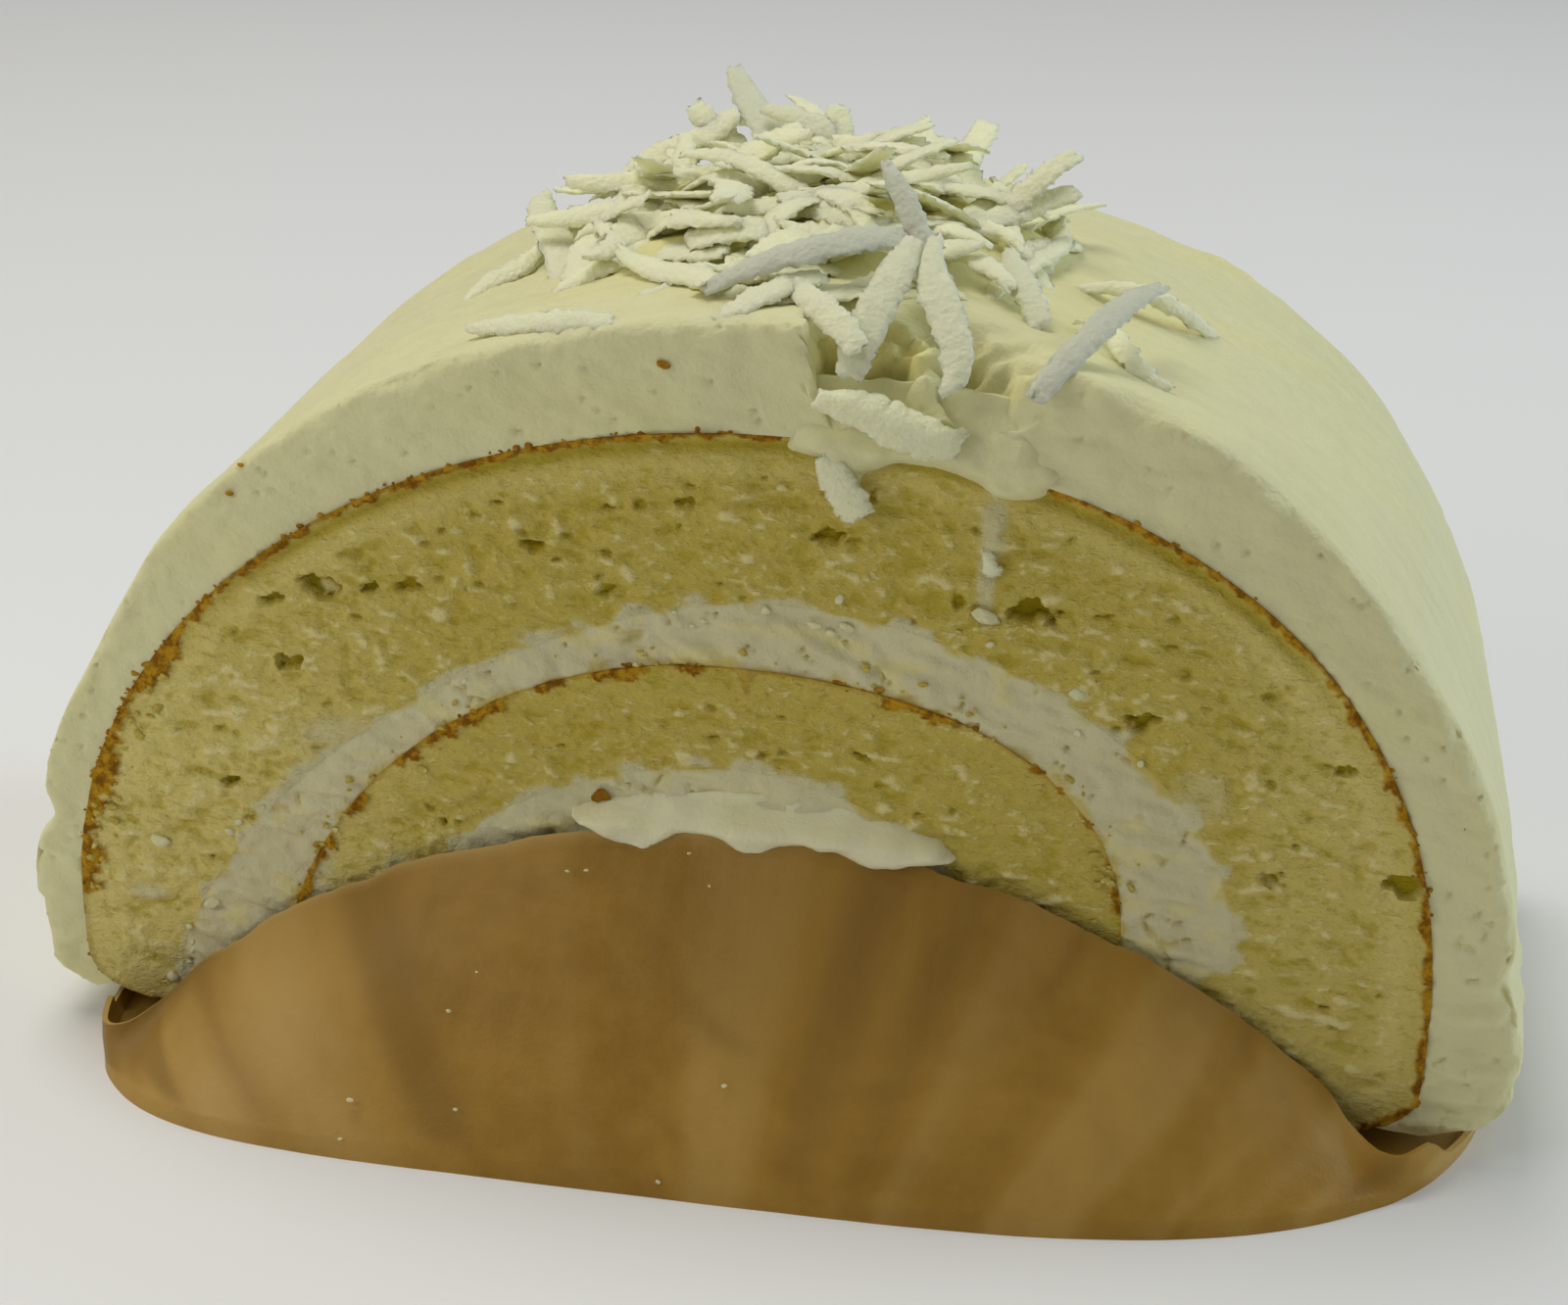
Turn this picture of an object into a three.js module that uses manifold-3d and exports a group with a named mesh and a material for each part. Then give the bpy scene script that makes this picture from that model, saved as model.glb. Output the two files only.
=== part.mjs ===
// A slice of coconut swiss roll in its round paper baking case.
// Millimetres, +Z up. The cut face looks toward -Y and the case rests on z = 0.
import * as THREE from 'three';
import Module from 'manifold-3d';

const wasm = await Module();
wasm.setup();

// ---- driving dimensions ----
const slice = { width: 90, height: 48.5, depth: 35.4 };
const clearance = 0.3; // air left between neighbouring solids
const paperThickness = 0.5;
const cakeFloor = paperThickness + clearance;
const cutFace = slice.depth / 2;

// One side of a curve across the roll: how far it reaches from the apex, the height of its widest
// point, how round it is above that height, and where and how squarely it meets the bottom.
const side = (reach, waist, round, foot, corner = 6) => ({ reach, waist, round, foot, corner });

// The curves of the cut face, from the outside of the cream coat in to the cream core.
const coatCurve = {
  apex: [3, slice.height],
  left: side(47.6, 8, 2.1, cakeFloor),
  right: side(41.9, 8, 2.1, cakeFloor),
};
const skinCurve = {
  apex: [1, 41.9],
  left: side(43, 8, 2.0, cakeFloor),
  right: side(38.8, 8, 2.3, cakeFloor),
};
const faceCurve = {
  apex: [1, 31.9],
  left: side(37, 3, 1.6, cakeFloor),
  right: side(27.3, 13, 1.9, 9, 3),
};
const innerSkinCurve = {
  apex: [-2, 27.8],
  left: side(27, 3.5, 1.9, cakeFloor),
  right: side(24, 12.5, 2.3, 10.4, 3),
};
const coreCurve = {
  apex: [-1, 21.3],
  left: side(17.5, 12.5, 1.75, 9, 3),
  right: side(14.5, 12.5, 1.85, 10.4, 3),
};

// The cake sheet is one long strip. It starts at the floor on the left, goes over the top and
// back along the floor, then turns up inside itself and ends inside the right of the roll.
// Angles are in degrees round the curves: 0 at the right, 90 at the top.
const sheetStart = { skin: 222, face: 200 };
const sheetEnd = -20;
const coatFoot = { left: 214, right: -46 };
const coatInside = { left: 209, right: -34 };

// Swellings and pinches of the cream coat: side of the roll, height, half height and push.
const swellings = [
  { sign: -1, z: 9.3, half: 2.6, push: 0.4 },
  { sign: -1, z: 14, half: 1.2, push: -0.9 },
  { sign: -1, z: 26, half: 6.5, push: -1 },
  { sign: 1, z: 7.2, half: 2.6, push: 0.4 },
  { sign: 1, z: 12.4, half: 1.4, push: -0.5 },
  { sign: 1, z: 25, half: 8, push: -0.5 },
];

const sheetSteps = 104;
const coatSteps = 56;
const crumbDepth = 0.28;

// The round paper case: its floor, the flaps folded up against both cut faces and the low rim.
const paper = {
  left: { reach: 40.2, square: 6 },
  right: { reach: 44.4, square: 3.2 },
  fold: 29.9,
  flapRadius: 51.6,
  flapHeight: 17.5,
  cornerHeight: 2.8,
  rimHeight: 1.5,
  bulge: 0.9,
  pleats: 34,
  pleatDepth: 0.22,
  flapGap: 0.65,
};

// The broken front edge of the coat and the cream smeared from it down over the cake.
const dent = { left: 3, right: 16.5, top: 14.5, drop: 3.4, slope: 10, clear: 6 };
const smear = { front: 1.05, back: 0.35, root: 0.9 };
const smearOutline = [
  [0.6, 43.6], [0.9, 41.6], [3.4, 39.6], [5.1, 37.3], [6.4, 38.6], [8.4, 40.4],
  [11, 40.7], [12.8, 39], [16.6, 39.4], [17.2, 42.6], [9, 44.6],
];

// Coconut shreds seen one by one: middle, heading, slope, length, width and bend.
// They rise from the cream by their own slope, so each has one end in the pile.
const shredThickness = 0.6;
const namedShreds = [
  { at: [-4.4, 11, 51.6], heading: -52, slope: -24, length: 14, width: 2.5, bend: 0.5 },
  { at: [-2.7, 11.4, 51.2], heading: -40, slope: -14, length: 10, width: 2.1, bend: 0.9 },
  { at: [-9, 6.2, 50.3], heading: -80, slope: -28, length: 7, width: 1.8, bend: 0.3 },
  { at: [-9.7, 4.3, 50], heading: 22, slope: 3, length: 11, width: 2.2, bend: 0.6 },
  { at: [-16.2, 1.5, 46.8], heading: -64, slope: -8, length: 15, width: 2.5, bend: 0.7 },
  { at: [-11.4, 0.5, 49], heading: 10, slope: 8, length: 11, width: 2.1, bend: 0.4 },
  { at: [-10.2, -1.7, 49], heading: -18, slope: 6, length: 7, width: 2, bend: 0.3 },
  { at: [-10.1, -5.8, 47.7], heading: 42, slope: 14, length: 8, width: 1.8, bend: 0.6 },
  { at: [-5.2, -10.8, 48.5], heading: -32, slope: 2, length: 12, width: 1.9, bend: 0.3 },
  { at: [2.9, -11.6, 50.6], heading: 27, slope: 8, length: 12.6, width: 1.9, bend: 1.1 },
  { at: [7.6, -8.8, 51.6], heading: -50, slope: -44, length: 8.4, width: 1.5, bend: 0.3 },
  { at: [0.8, -2.8, 50.4], heading: -28, slope: 2, length: 10, width: 2.1, bend: 1 },
  { at: [6.6, -14.6, 48.9], heading: -112, slope: -36, length: 9, width: 2, bend: 0.5 },
  { at: [10, -14.6, 48.7], heading: -58, slope: -34, length: 9, width: 1.8, bend: 0.3 },
  { at: [0.4, -14.8, 49], heading: 45, slope: 14, length: 6.4, width: 1.8, bend: 0.3 },
  { at: [3.7, -15.9, 48.5], heading: -38, slope: -18, length: 6, width: 1.7, bend: 0.2 },
  { at: [10.6, -0.6, 50.4], heading: 42, slope: 6, length: 11, width: 2.1, bend: -0.8 },
  { at: [12.9, 2, 51.3], heading: 40, slope: 36, length: 7, width: 1.8, bend: 0.5 },
  { at: [13.6, -7.8, 48.4], heading: -64, slope: -16, length: 7.4, width: 1.8, bend: 0.3 },
  { at: [13.4, -3, 48.1], heading: 66, slope: 4, length: 11, width: 1.9, bend: 0.2 },
  { at: [20.4, -2, 45.9], heading: 8, slope: -22, length: 9.6, width: 1.2, bend: 2.2 },
  { at: [18.6, -12, 47.4], heading: -116, slope: -14, length: 12, width: 1.8, bend: 1 },
  { at: [19.6, -11.1, 46], heading: -60, slope: -22, length: 6.4, width: 1.5, bend: 0.4 },
  { at: [-12.4, -15.9, 46.8], heading: -12, slope: 11, length: 8.6, width: 1.6, bend: 0.2 },
  { at: [-18.6, -1.7, 45], heading: 39, slope: 20, length: 6, width: 1.6, bend: 0.2 },
  { at: [-9.6, 8.2, 50.2], heading: 76, slope: 4, length: 8.6, width: 1.9, bend: 0.4 },
  { at: [-10.5, 10, 50.6], heading: 12, slope: 22, length: 8.4, width: 2.2, bend: 0.3 },
  { at: [-7.5, 11, 51.4], heading: 160, slope: 34, length: 5.6, width: 2, bend: 0.2 },
  { at: [-1.2, 10, 52.2], heading: -14, slope: -24, length: 7.5, width: 1.9, bend: 0.9 },
  { at: [0.4, 9.4, 51.8], heading: 110, slope: 42, length: 5.6, width: 1.9, bend: 0.2 },
  { at: [3.6, 8.4, 51.8], heading: 4, slope: -2, length: 7, width: 2.2, bend: 0.5 },
];
// The pile: how many shreds lie in it by rule, where, and how high it is heaped on the cream.
const pile = { count: 44, centre: [1.5, 0], reach: [17, 15.5], length: [6, 12], width: [1.4, 2.3] };
const heap = { centre: [-1, 4], reach: [17, 13], height: 4, core: 0.6 };

// ---- small helpers ----
const radians = (degrees) => (degrees * Math.PI) / 180;
const mix = (a, b, t) => a + (b - a) * t;
const smooth = (t) => {
  const s = Math.min(Math.max(t, 0), 1);
  return s * s * (3 - 2 * s);
};
const chance = (i, j = 0, k = 0) => {
  const s = Math.sin(i * 12.9898 + j * 78.233 + k * 37.719) * 43758.5453;
  return s - Math.floor(s);
};

// Smooth noise between -1 and 1 over a plane, with one draw for each grid cell.
function noise(u, v, seed) {
  const i = Math.floor(u);
  const j = Math.floor(v);
  const a = smooth(u - i);
  const b = smooth(v - j);
  const low = mix(chance(i, j, seed), chance(i + 1, j, seed), a);
  const high = mix(chance(i, j + 1, seed), chance(i + 1, j + 1, seed), a);
  return 2 * mix(low, high, b) - 1;
}

// The point of a curve at an angle in degrees, as [x, z].
function curvePoint(curve, angle) {
  const c = Math.cos(radians(angle));
  const s = Math.sin(radians(angle));
  const half = c < 0 ? curve.left : curve.right;
  const power = 2 / (s < 0 ? half.corner : half.round);
  const rise = s < 0 ? half.waist - half.foot : curve.apex[1] - half.waist;
  return [
    curve.apex[0] + Math.sign(c) * half.reach * Math.abs(c) ** power,
    half.waist + Math.sign(s) * rise * Math.abs(s) ** power,
  ];
}

function arc(curve, from, to, steps = 240) {
  return Array.from({ length: steps + 1 }, (_, i) => curvePoint(curve, mix(from, to, i / steps)));
}

// Two paths matched point by point, with `count` steps evenly along the line between them.
function matched(first, second, count) {
  const along = [0];
  for (let i = 1; i < first.length; i += 1) {
    const dx = first[i][0] - first[i - 1][0] + second[i][0] - second[i - 1][0];
    const dz = first[i][1] - first[i - 1][1] + second[i][1] - second[i - 1][1];
    along.push(along[i - 1] + Math.hypot(dx, dz));
  }
  const total = along[along.length - 1];
  const at = (path, i, t) => [0, 1].map((k) => mix(path[i - 1][k], path[i][k], t));
  const even = [[], []];
  let i = 1;
  for (let k = 0; k <= count; k += 1) {
    const target = (total * k) / count;
    while (i < along.length - 1 && along[i] < target) i += 1;
    const t = (target - along[i - 1]) / (along[i] - along[i - 1] || 1);
    even[0].push(at(first, i, t));
    even[1].push(at(second, i, t));
  }
  return even;
}

const evenly = (path, count) => matched(path, path, count)[0];

// The path moved sideways: to the left of its direction of travel for a positive distance.
function beside(points, distance) {
  return points.map((p, i) => {
    const before = points[Math.max(i - 1, 0)];
    const after = points[Math.min(i + 1, points.length - 1)];
    const dx = after[0] - before[0];
    const dz = after[1] - before[1];
    const size = Math.hypot(dx, dz) || 1;
    return [p[0] - (dz / size) * distance, Math.max(p[1] + (dx / size) * distance, cakeFloor)];
  });
}

// A cut face as points [x, z] with its outline first, the number of outline points, and faces.
function plainFace(outline) {
  const contour = outline.map(([x, z]) => new THREE.Vector2(x, z));
  if (THREE.ShapeUtils.area(contour) < 0) contour.reverse();
  return {
    points: contour.map((p) => [p.x, p.y]),
    rim: contour.length,
    faces: THREE.ShapeUtils.triangulateShape(contour, []),
  };
}

// The face between two matched paths, in `across` rows, with the first path outside, clockwise.
function stripFace(outer, inner, across) {
  const last = outer.length - 1;
  const numbers = outer.map(() => []);
  const points = [];
  const add = (i, k) => {
    numbers[i][k] = points.length;
    points.push([0, 1].map((c) => mix(outer[i][c], inner[i][c], k / across)));
  };
  for (let i = last; i >= 0; i -= 1) add(i, 0);
  for (let k = 1; k < across; k += 1) add(0, k);
  for (let i = 0; i <= last; i += 1) add(i, across);
  for (let k = across - 1; k > 0; k -= 1) add(last, k);
  const rim = points.length;
  for (let i = 1; i < last; i += 1) for (let k = 1; k < across; k += 1) add(i, k);
  const faces = [];
  for (let i = 0; i < last; i += 1) {
    for (let k = 0; k < across; k += 1) {
      const [a, b, c, d] = [numbers[i][k], numbers[i + 1][k], numbers[i + 1][k + 1], numbers[i][k + 1]];
      if ((i + k) % 2) faces.push([a, d, c], [a, c, b]);
      else faces.push([a, d, b], [b, d, c]);
    }
  }
  return { points, rim, faces };
}

function solid(vertices, triangles) {
  return new wasm.Manifold(new wasm.Mesh({
    numProp: 3,
    vertProperties: new Float32Array(vertices.flat()),
    triVerts: new Uint32Array(triangles.flat()),
  }));
}

// A closed slab of a cut face, from y = front to y = back in `rows` steps.
// `relief` pushes a cut face outward, and `swell` moves a point of the side wall in x and z.
function slab({ points, rim, faces }, { front = -cutFace, back = cutFace, rows = 1,
  relief = () => 0, swell = () => [0, 0] } = {}) {
  const vertices = [];
  for (let row = 0; row <= rows; row += 1) {
    const y = mix(front, back, row / rows);
    for (let i = 0; i < rim; i += 1) {
      const [x, z] = points[i];
      const [dx, dz] = swell(x, y, z);
      let push = 0;
      if (row === 0) push = -relief(x, z, 0);
      if (row === rows) push = relief(x, z, 1);
      vertices.push([x + dx, y + push, z + dz]);
    }
  }
  const inner = { front: vertices.length };
  for (const [x, z] of points.slice(rim)) vertices.push([x, front - relief(x, z, 0), z]);
  inner.back = vertices.length;
  for (const [x, z] of points.slice(rim)) vertices.push([x, back + relief(x, z, 1), z]);
  const triangles = [];
  for (const face of faces) {
    triangles.push(face.map((p) => (p < rim ? p : inner.front + p - rim)));
    const [a, b, c] = face.map((p) => (p < rim ? rows * rim + p : inner.back + p - rim));
    triangles.push([a, c, b]);
  }
  for (let row = 0; row < rows; row += 1) {
    for (let i = 0; i < rim; i += 1) {
      const a = row * rim + i;
      const b = row * rim + ((i + 1) % rim);
      triangles.push([a, a + rim, b], [b, a + rim, b + rim]);
    }
  }
  return solid(vertices, triangles);
}

// ---- the cake sheet ----
const [skinPath, facePath] = matched(
  [...arc(skinCurve, sheetStart.skin, -90), ...arc(innerSkinCurve, 270, sheetEnd)],
  [...arc(faceCurve, sheetStart.face, -90), ...arc(coreCurve, 270, sheetEnd)],
  sheetSteps,
);

// Torn crumb on a cut face, drawn back under the smear so that the cream has room.
function crumb(x, z, end) {
  const rough = 0.65 * noise(x / 3.1, z / 2.4, 3 + end) + 0.35 * noise(x / 7.5, z / 5.5, 9 + end);
  const under = end === 0 ? smooth((z - 35.5) / 2.5) * smooth((x + 2) / 2) * smooth((19.5 - x) / 2) : 0;
  return crumbDepth * rough - 0.45 * under;
}
const sponge = slab(stripFace(skinPath, facePath, 4), { relief: crumb });

// ---- the cream spread inside the roll, one piece from the seam to the core ----
const innerSkin = evenly(arc(innerSkinCurve, 216, sheetEnd), 40);
const creamOutside = beside(facePath, -clearance);
const creamInside = beside(innerSkin, clearance);
const [endX, endZ] = creamInside[creamInside.length - 1];
const [coreX, coreZ] = creamOutside[creamOutside.length - 1];
const filling = slab(plainFace([
  ...creamOutside,
  [coreX, coreZ - 0.5],
  [mix(coreX, endX, 0.5), Math.min(coreZ, endZ) - 0.6],
  [endX, endZ - 0.5],
  ...[...creamInside].reverse(),
  [creamInside[0][0] - 0.4, cakeFloor],
  [creamOutside[0][0] + 0.1, cakeFloor],
]), { rows: 2 });

// ---- the whipped cream coat ----
function coatSwell(x, y, z) {
  const across = x - coatCurve.apex[0];
  const up = z - 8;
  const size = Math.hypot(across, up) || 1;
  let push = 0.35 * noise(y / 9, Math.atan2(up, across) * 5, 41);
  for (const bump of swellings) {
    if (Math.sign(across) === bump.sign) {
      push += bump.push * Math.exp(-(((z - bump.z) / bump.half) ** 2));
    }
  }
  return [(across / size) * push, (Math.max(up, 0) / size) * push];
}
const [coatOutside, coatLining] = matched(
  arc(coatCurve, coatFoot.left, coatFoot.right),
  beside(arc(skinCurve, coatInside.left, coatInside.right), clearance),
  coatSteps,
);
const outside = new Set(coatOutside.map(([x, z]) => `${x} ${z}`));
const coatBody = slab(stripFace(coatOutside, coatLining, 3), {
  rows: 8,
  relief: (x, z, end) => 0.14 * noise(x / 5, z / 4, 31 + end),
  swell: (x, y, z) => (outside.has(`${x} ${z}`) ? coatSwell(x, y, z) : [0, 0]),
});

// A closed block of eight corners: the middle of one end, directions and half sizes.
function block(middle, axes, half) {
  const corners = [];
  for (const c of [-1, 1]) {
    for (const [a, b] of [[-1, -1], [1, -1], [1, 1], [-1, 1]]) {
      const p = new THREE.Vector3(...middle)
        .addScaledVector(axes[0], a * half[0])
        .addScaledVector(axes[1], b * half[1])
        .addScaledVector(axes[2], c * half[2]);
      corners.push(p.toArray());
    }
  }
  return solid(corners, [
    [0, 2, 1], [0, 3, 2], [4, 5, 6], [4, 6, 7], [0, 1, 5], [0, 5, 4],
    [1, 2, 6], [1, 6, 5], [2, 3, 7], [2, 7, 6], [3, 0, 4], [3, 4, 7],
  ]);
}

// The dented edge: a block that leans over the top front corner, cut away.
function dentCutter() {
  const lean = Math.atan2(dent.drop, cutFace - dent.top);
  const down = new THREE.Vector3(0, -Math.cos(lean), -Math.sin(lean));
  const across = new THREE.Vector3(1, 0, 0);
  const outward = new THREE.Vector3().crossVectors(down, across);
  const middle = new THREE.Vector3((dent.left + dent.right) / 2, -dent.top, slice.height)
    .addScaledVector(outward, dent.clear / 2)
    .addScaledVector(down, dent.slope / 4);
  const half = [dent.slope / 2, (dent.right - dent.left) / 2, dent.clear / 2];
  return block(middle.toArray(), [down, across, outward], half);
}

// The smear: a thin skin of cream in front of the cake, rooted in the coat above it.
function smearBody() {
  const front = -cutFace - smear.front;
  const skin = slab(plainFace(smearOutline), { front, back: -cutFace - smear.back });
  const deep = slab(plainFace(smearOutline), { front, back: -cutFace + smear.root });
  const cream = slab(stripFace(coatOutside, coatLining, 1), { front: front - 1 });
  return skin.add(deep.intersect(cream));
}

// ---- coconut shreds: bent flat strips with narrowed ends ----
function shred({ at, heading, slope, length, width, bend }) {
  const spin = new THREE.Matrix4()
    .makeTranslation(...at)
    .multiply(new THREE.Matrix4().makeRotationZ(radians(heading)))
    .multiply(new THREE.Matrix4().makeRotationY(radians(-slope)));
  const stations = [[-0.5, 0.7, -1], [0, 1, 0.4], [0.5, 0.5, -1]];
  const vertices = [];
  for (const [t, narrow, arch] of stations) {
    for (const [b, c] of [[-1, -1], [1, -1], [1, 1], [-1, 1]]) {
      const p = new THREE.Vector3(t * length, (b * width * narrow) / 2 + arch * bend * 0.4,
        (c * shredThickness) / 2 + arch * bend * 0.5);
      vertices.push(p.applyMatrix4(spin).toArray());
    }
  }
  const triangles = [[0, 2, 1], [0, 3, 2], [8, 9, 10], [8, 10, 11]];
  for (const k of [0, 4]) {
    for (let i = 0; i < 4; i += 1) {
      const j = (i + 1) % 4;
      triangles.push([k + i, k + j, k + j + 4], [k + i, k + j + 4, k + i + 4]);
    }
  }
  return solid(vertices, triangles);
}

function coatTop(x) {
  const half = x < coatCurve.apex[0] ? coatCurve.left : coatCurve.right;
  const t = Math.min(Math.abs(x - coatCurve.apex[0]) / half.reach, 1);
  return half.waist + (slice.height - half.waist) * (1 - t ** half.round) ** (1 / half.round);
}

// How high the pile is heaped over the cream at a place.
function heapHeight(x, y) {
  const away = Math.hypot((x - heap.centre[0]) / heap.reach[0], (y - heap.centre[1]) / heap.reach[1]);
  return heap.height * Math.max(0, 1 - away ** 3);
}

// The heart of the heap, which the shreds lie on, rooted in the coat.
function heapCore() {
  const spokes = 20;
  const rings = [0.35, 0.65, 0.88, 1];
  const root = 2;
  const spot = (ring, k) => [
    heap.centre[0] + heap.reach[0] * ring * Math.cos((2 * Math.PI * k) / spokes),
    heap.centre[1] + heap.reach[1] * ring * Math.sin((2 * Math.PI * k) / spokes),
  ];
  const top = ([x, y]) => [x, y, coatTop(x) - 0.2 + heap.core * heapHeight(x, y)];
  const bottom = ([x, y]) => [x, y, coatTop(x) - root];
  const vertices = [top(heap.centre), bottom(heap.centre)];
  for (const ring of rings) {
    for (let k = 0; k < spokes; k += 1) vertices.push(top(spot(ring, k)), bottom(spot(ring, k)));
  }
  const at = (ring, k, under) => 2 + 2 * (ring * spokes + (k % spokes)) + under;
  const last = rings.length - 1;
  const triangles = [];
  for (let k = 0; k < spokes; k += 1) {
    triangles.push([0, at(0, k, 0), at(0, k + 1, 0)], [1, at(0, k + 1, 1), at(0, k, 1)]);
    for (let r = 0; r < last; r += 1) {
      const [a, b, c, d] = [at(r, k, 0), at(r + 1, k, 0), at(r + 1, k + 1, 0), at(r, k + 1, 0)];
      triangles.push([a, b, c], [a, c, d], [a + 1, c + 1, b + 1], [a + 1, d + 1, c + 1]);
    }
    const [a, b] = [at(last, k, 0), at(last, k + 1, 0)];
    triangles.push([a, a + 1, b + 1], [a, b + 1, b]);
  }
  return solid(vertices, triangles);
}

// The pile by rule: longest shreds first, close round the middle, lying on the cream and heap.
function pileShreds() {
  const golden = 2.39996;
  const inside = cutFace - 0.5;
  return Array.from({ length: pile.count }, (_, i) => {
    const out = Math.sqrt((i + 0.5) / pile.count) * (0.75 + 0.25 * chance(i, 1));
    const turn = i * golden;
    const length = mix(pile.length[1], pile.length[0], i / pile.count);
    const heading = 360 * chance(i, 2);
    const along = Math.cos(radians(heading)) * length * 0.4;
    const room = inside - Math.abs(Math.sin(radians(heading))) * length * 0.5;
    const x = pile.centre[0] + pile.reach[0] * out * Math.cos(turn);
    const y = Math.min(Math.max(pile.centre[1] + pile.reach[1] * out * Math.sin(turn), -room), room);
    const slope = Math.atan2(coatTop(x + along) - coatTop(x - along), 0.8 * length) * (180 / Math.PI);
    const raised = 0.2 + (1 - heap.core) * heapHeight(x, y) * chance(i, 3);
    const lying = Math.min(coatTop(x - along), coatTop(x + along)) / 2 + coatTop(x) / 2;
    return {
      at: [x, y, lying + heap.core * heapHeight(x, y) + raised],
      heading,
      slope: slope + 8 * (chance(i, 4) - 0.5),
      length,
      width: mix(...pile.width, chance(i, 5)),
      bend: 1.2 * chance(i, 6),
    };
  });
}

// Keeps the one largest body of a solid, so that nothing is left hanging free.
function largestBody(body) {
  const { vertProperties, triVerts } = body.getMesh();
  const group = Array.from({ length: vertProperties.length / 3 }, (_, i) => i);
  const root = (i) => {
    let r = i;
    while (group[r] !== r) r = group[r];
    group[i] = r;
    return r;
  };
  for (let t = 0; t < triVerts.length; t += 3) {
    group[root(triVerts[t])] = root(triVerts[t + 1]);
    group[root(triVerts[t + 1])] = root(triVerts[t + 2]);
  }
  const sizes = new Map();
  for (const v of triVerts) sizes.set(root(v), (sizes.get(root(v)) ?? 0) + 1);
  const main = [...sizes].sort((a, b) => b[1] - a[1])[0][0];
  const number = new Map();
  const vertices = [];
  const triangles = [];
  for (let t = 0; t < triVerts.length; t += 3) {
    if (root(triVerts[t]) === main) {
      triangles.push([0, 1, 2].map((k) => {
        const v = triVerts[t + k];
        if (!number.has(v)) {
          number.set(v, vertices.length);
          vertices.push([...vertProperties.slice(3 * v, 3 * v + 3)]);
        }
        return number.get(v);
      }));
    }
  }
  return solid(vertices, triangles);
}

let coat = coatBody.subtract(dentCutter()).add(smearBody()).add(heapCore());
for (const one of [...namedShreds, ...pileShreds()]) coat = coat.add(shred(one));
coat = largestBody(coat);

// ---- the paper baking case ----
// Where the floor folds up, at an angle round the case.
function foldPoint(angle) {
  const c = Math.cos(radians(angle));
  const s = Math.sin(radians(angle));
  const half = c < 0 ? paper.left : paper.right;
  const power = 2 / half.square;
  return [
    Math.sign(c) * half.reach * Math.abs(c) ** power,
    Math.sign(s) * paper.fold * Math.abs(s) ** power,
  ];
}

// The free edge above a fold point: on the cut face along a flap, or the top of the low rim.
function edgePoint([x, y], angle) {
  const alongFace = x * 0.95;
  const drop = paper.flapRadius - paper.flapHeight;
  const inside = Math.max(paper.flapRadius ** 2 - alongFace ** 2, 0);
  const flap = Math.sqrt(inside) - drop;
  const leaning = smooth((flap - 1.8) / 2.6);
  const atCorner = smooth((Math.abs(y) - 18.4) / 1.5);
  const low = mix(paper.rimHeight, paper.cornerHeight, atCorner);
  const faceY = Math.sign(y) * (cutFace + paper.flapGap);
  const out = 0.35 * (1 - atCorner);
  return [
    mix(x + out * Math.cos(radians(angle)), alongFace, leaning),
    mix(y, faceY, leaning * smooth((Math.abs(y) - 19) / 2)),
    Math.max(low, mix(low, flap, smooth((Math.abs(y) - 19) / 2))),
  ];
}

function paperCase() {
  const count = 84;
  const floorRings = [0.5, 0.93];
  const wallRings = [0, 0.3, 0.65, 1];
  const inside = [];
  for (let i = 0; i < count; i += 1) {
    const angle = (360 * i) / count;
    const [x, y] = foldPoint(angle);
    const [ex, ey, ez] = edgePoint([x, y], angle);
    const column = floorRings.map((r) => [x * r, y * r, paperThickness]);
    for (const v of wallRings) {
      const wave = paper.pleatDepth * Math.cos(radians(paper.pleats * angle)) * Math.sin(Math.PI * v);
      const bow = (paper.bulge * Math.sin(Math.PI * v) * Math.min(ez, 12)) / 12 + wave;
      const away = Math.hypot(x, y);
      column.push([
        mix(x, ex, v) + (bow * x * 0.3) / away,
        mix(y, ey, v) + (bow * y) / away,
        mix(paperThickness, ez, v),
      ]);
    }
    inside.push(column);
  }
  const rings = inside[0].length;
  const foldRing = floorRings.length;
  const outward = (i, r) => {
    if (r < foldRing) return new THREE.Vector3(0, 0, -1);
    const at = (a, b) => new THREE.Vector3(...inside[(a + count) % count][b]);
    const round = at(i + 1, r).sub(at(i - 1, r));
    const up = at(i, Math.min(r + 1, rings - 1)).sub(at(i, Math.max(r - 1, foldRing)));
    const normal = round.cross(up).normalize();
    if (r > foldRing) return normal;
    return new THREE.Vector3(normal.x * 0.8, normal.y * 0.8, -1);
  };
  const vertices = [[0, 0, paperThickness], [0, 0, 0]];
  for (let i = 0; i < count; i += 1) {
    for (let r = 0; r < rings; r += 1) {
      const p = new THREE.Vector3(...inside[i][r]);
      vertices.push(p.toArray());
      vertices.push(p.addScaledVector(outward(i, r), paperThickness).toArray());
    }
  }
  const at = (i, r, outer) => 2 + 2 * ((i % count) * rings + r) + outer;
  const triangles = [];
  for (let i = 0; i < count; i += 1) {
    triangles.push([0, at(i, 0, 0), at(i + 1, 0, 0)], [1, at(i + 1, 0, 1), at(i, 0, 1)]);
    for (let r = 0; r < rings - 1; r += 1) {
      const [a, b, c, d] = [at(i, r, 0), at(i, r + 1, 0), at(i + 1, r + 1, 0), at(i + 1, r, 0)];
      triangles.push([a, b, c], [a, c, d], [a + 1, c + 1, b + 1], [a + 1, d + 1, c + 1]);
    }
    const [a, b] = [at(i, rings - 1, 0), at(i + 1, rings - 1, 0)];
    triangles.push([a, a + 1, b + 1], [a, b + 1, b]);
  }
  return solid(vertices, triangles);
}

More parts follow.
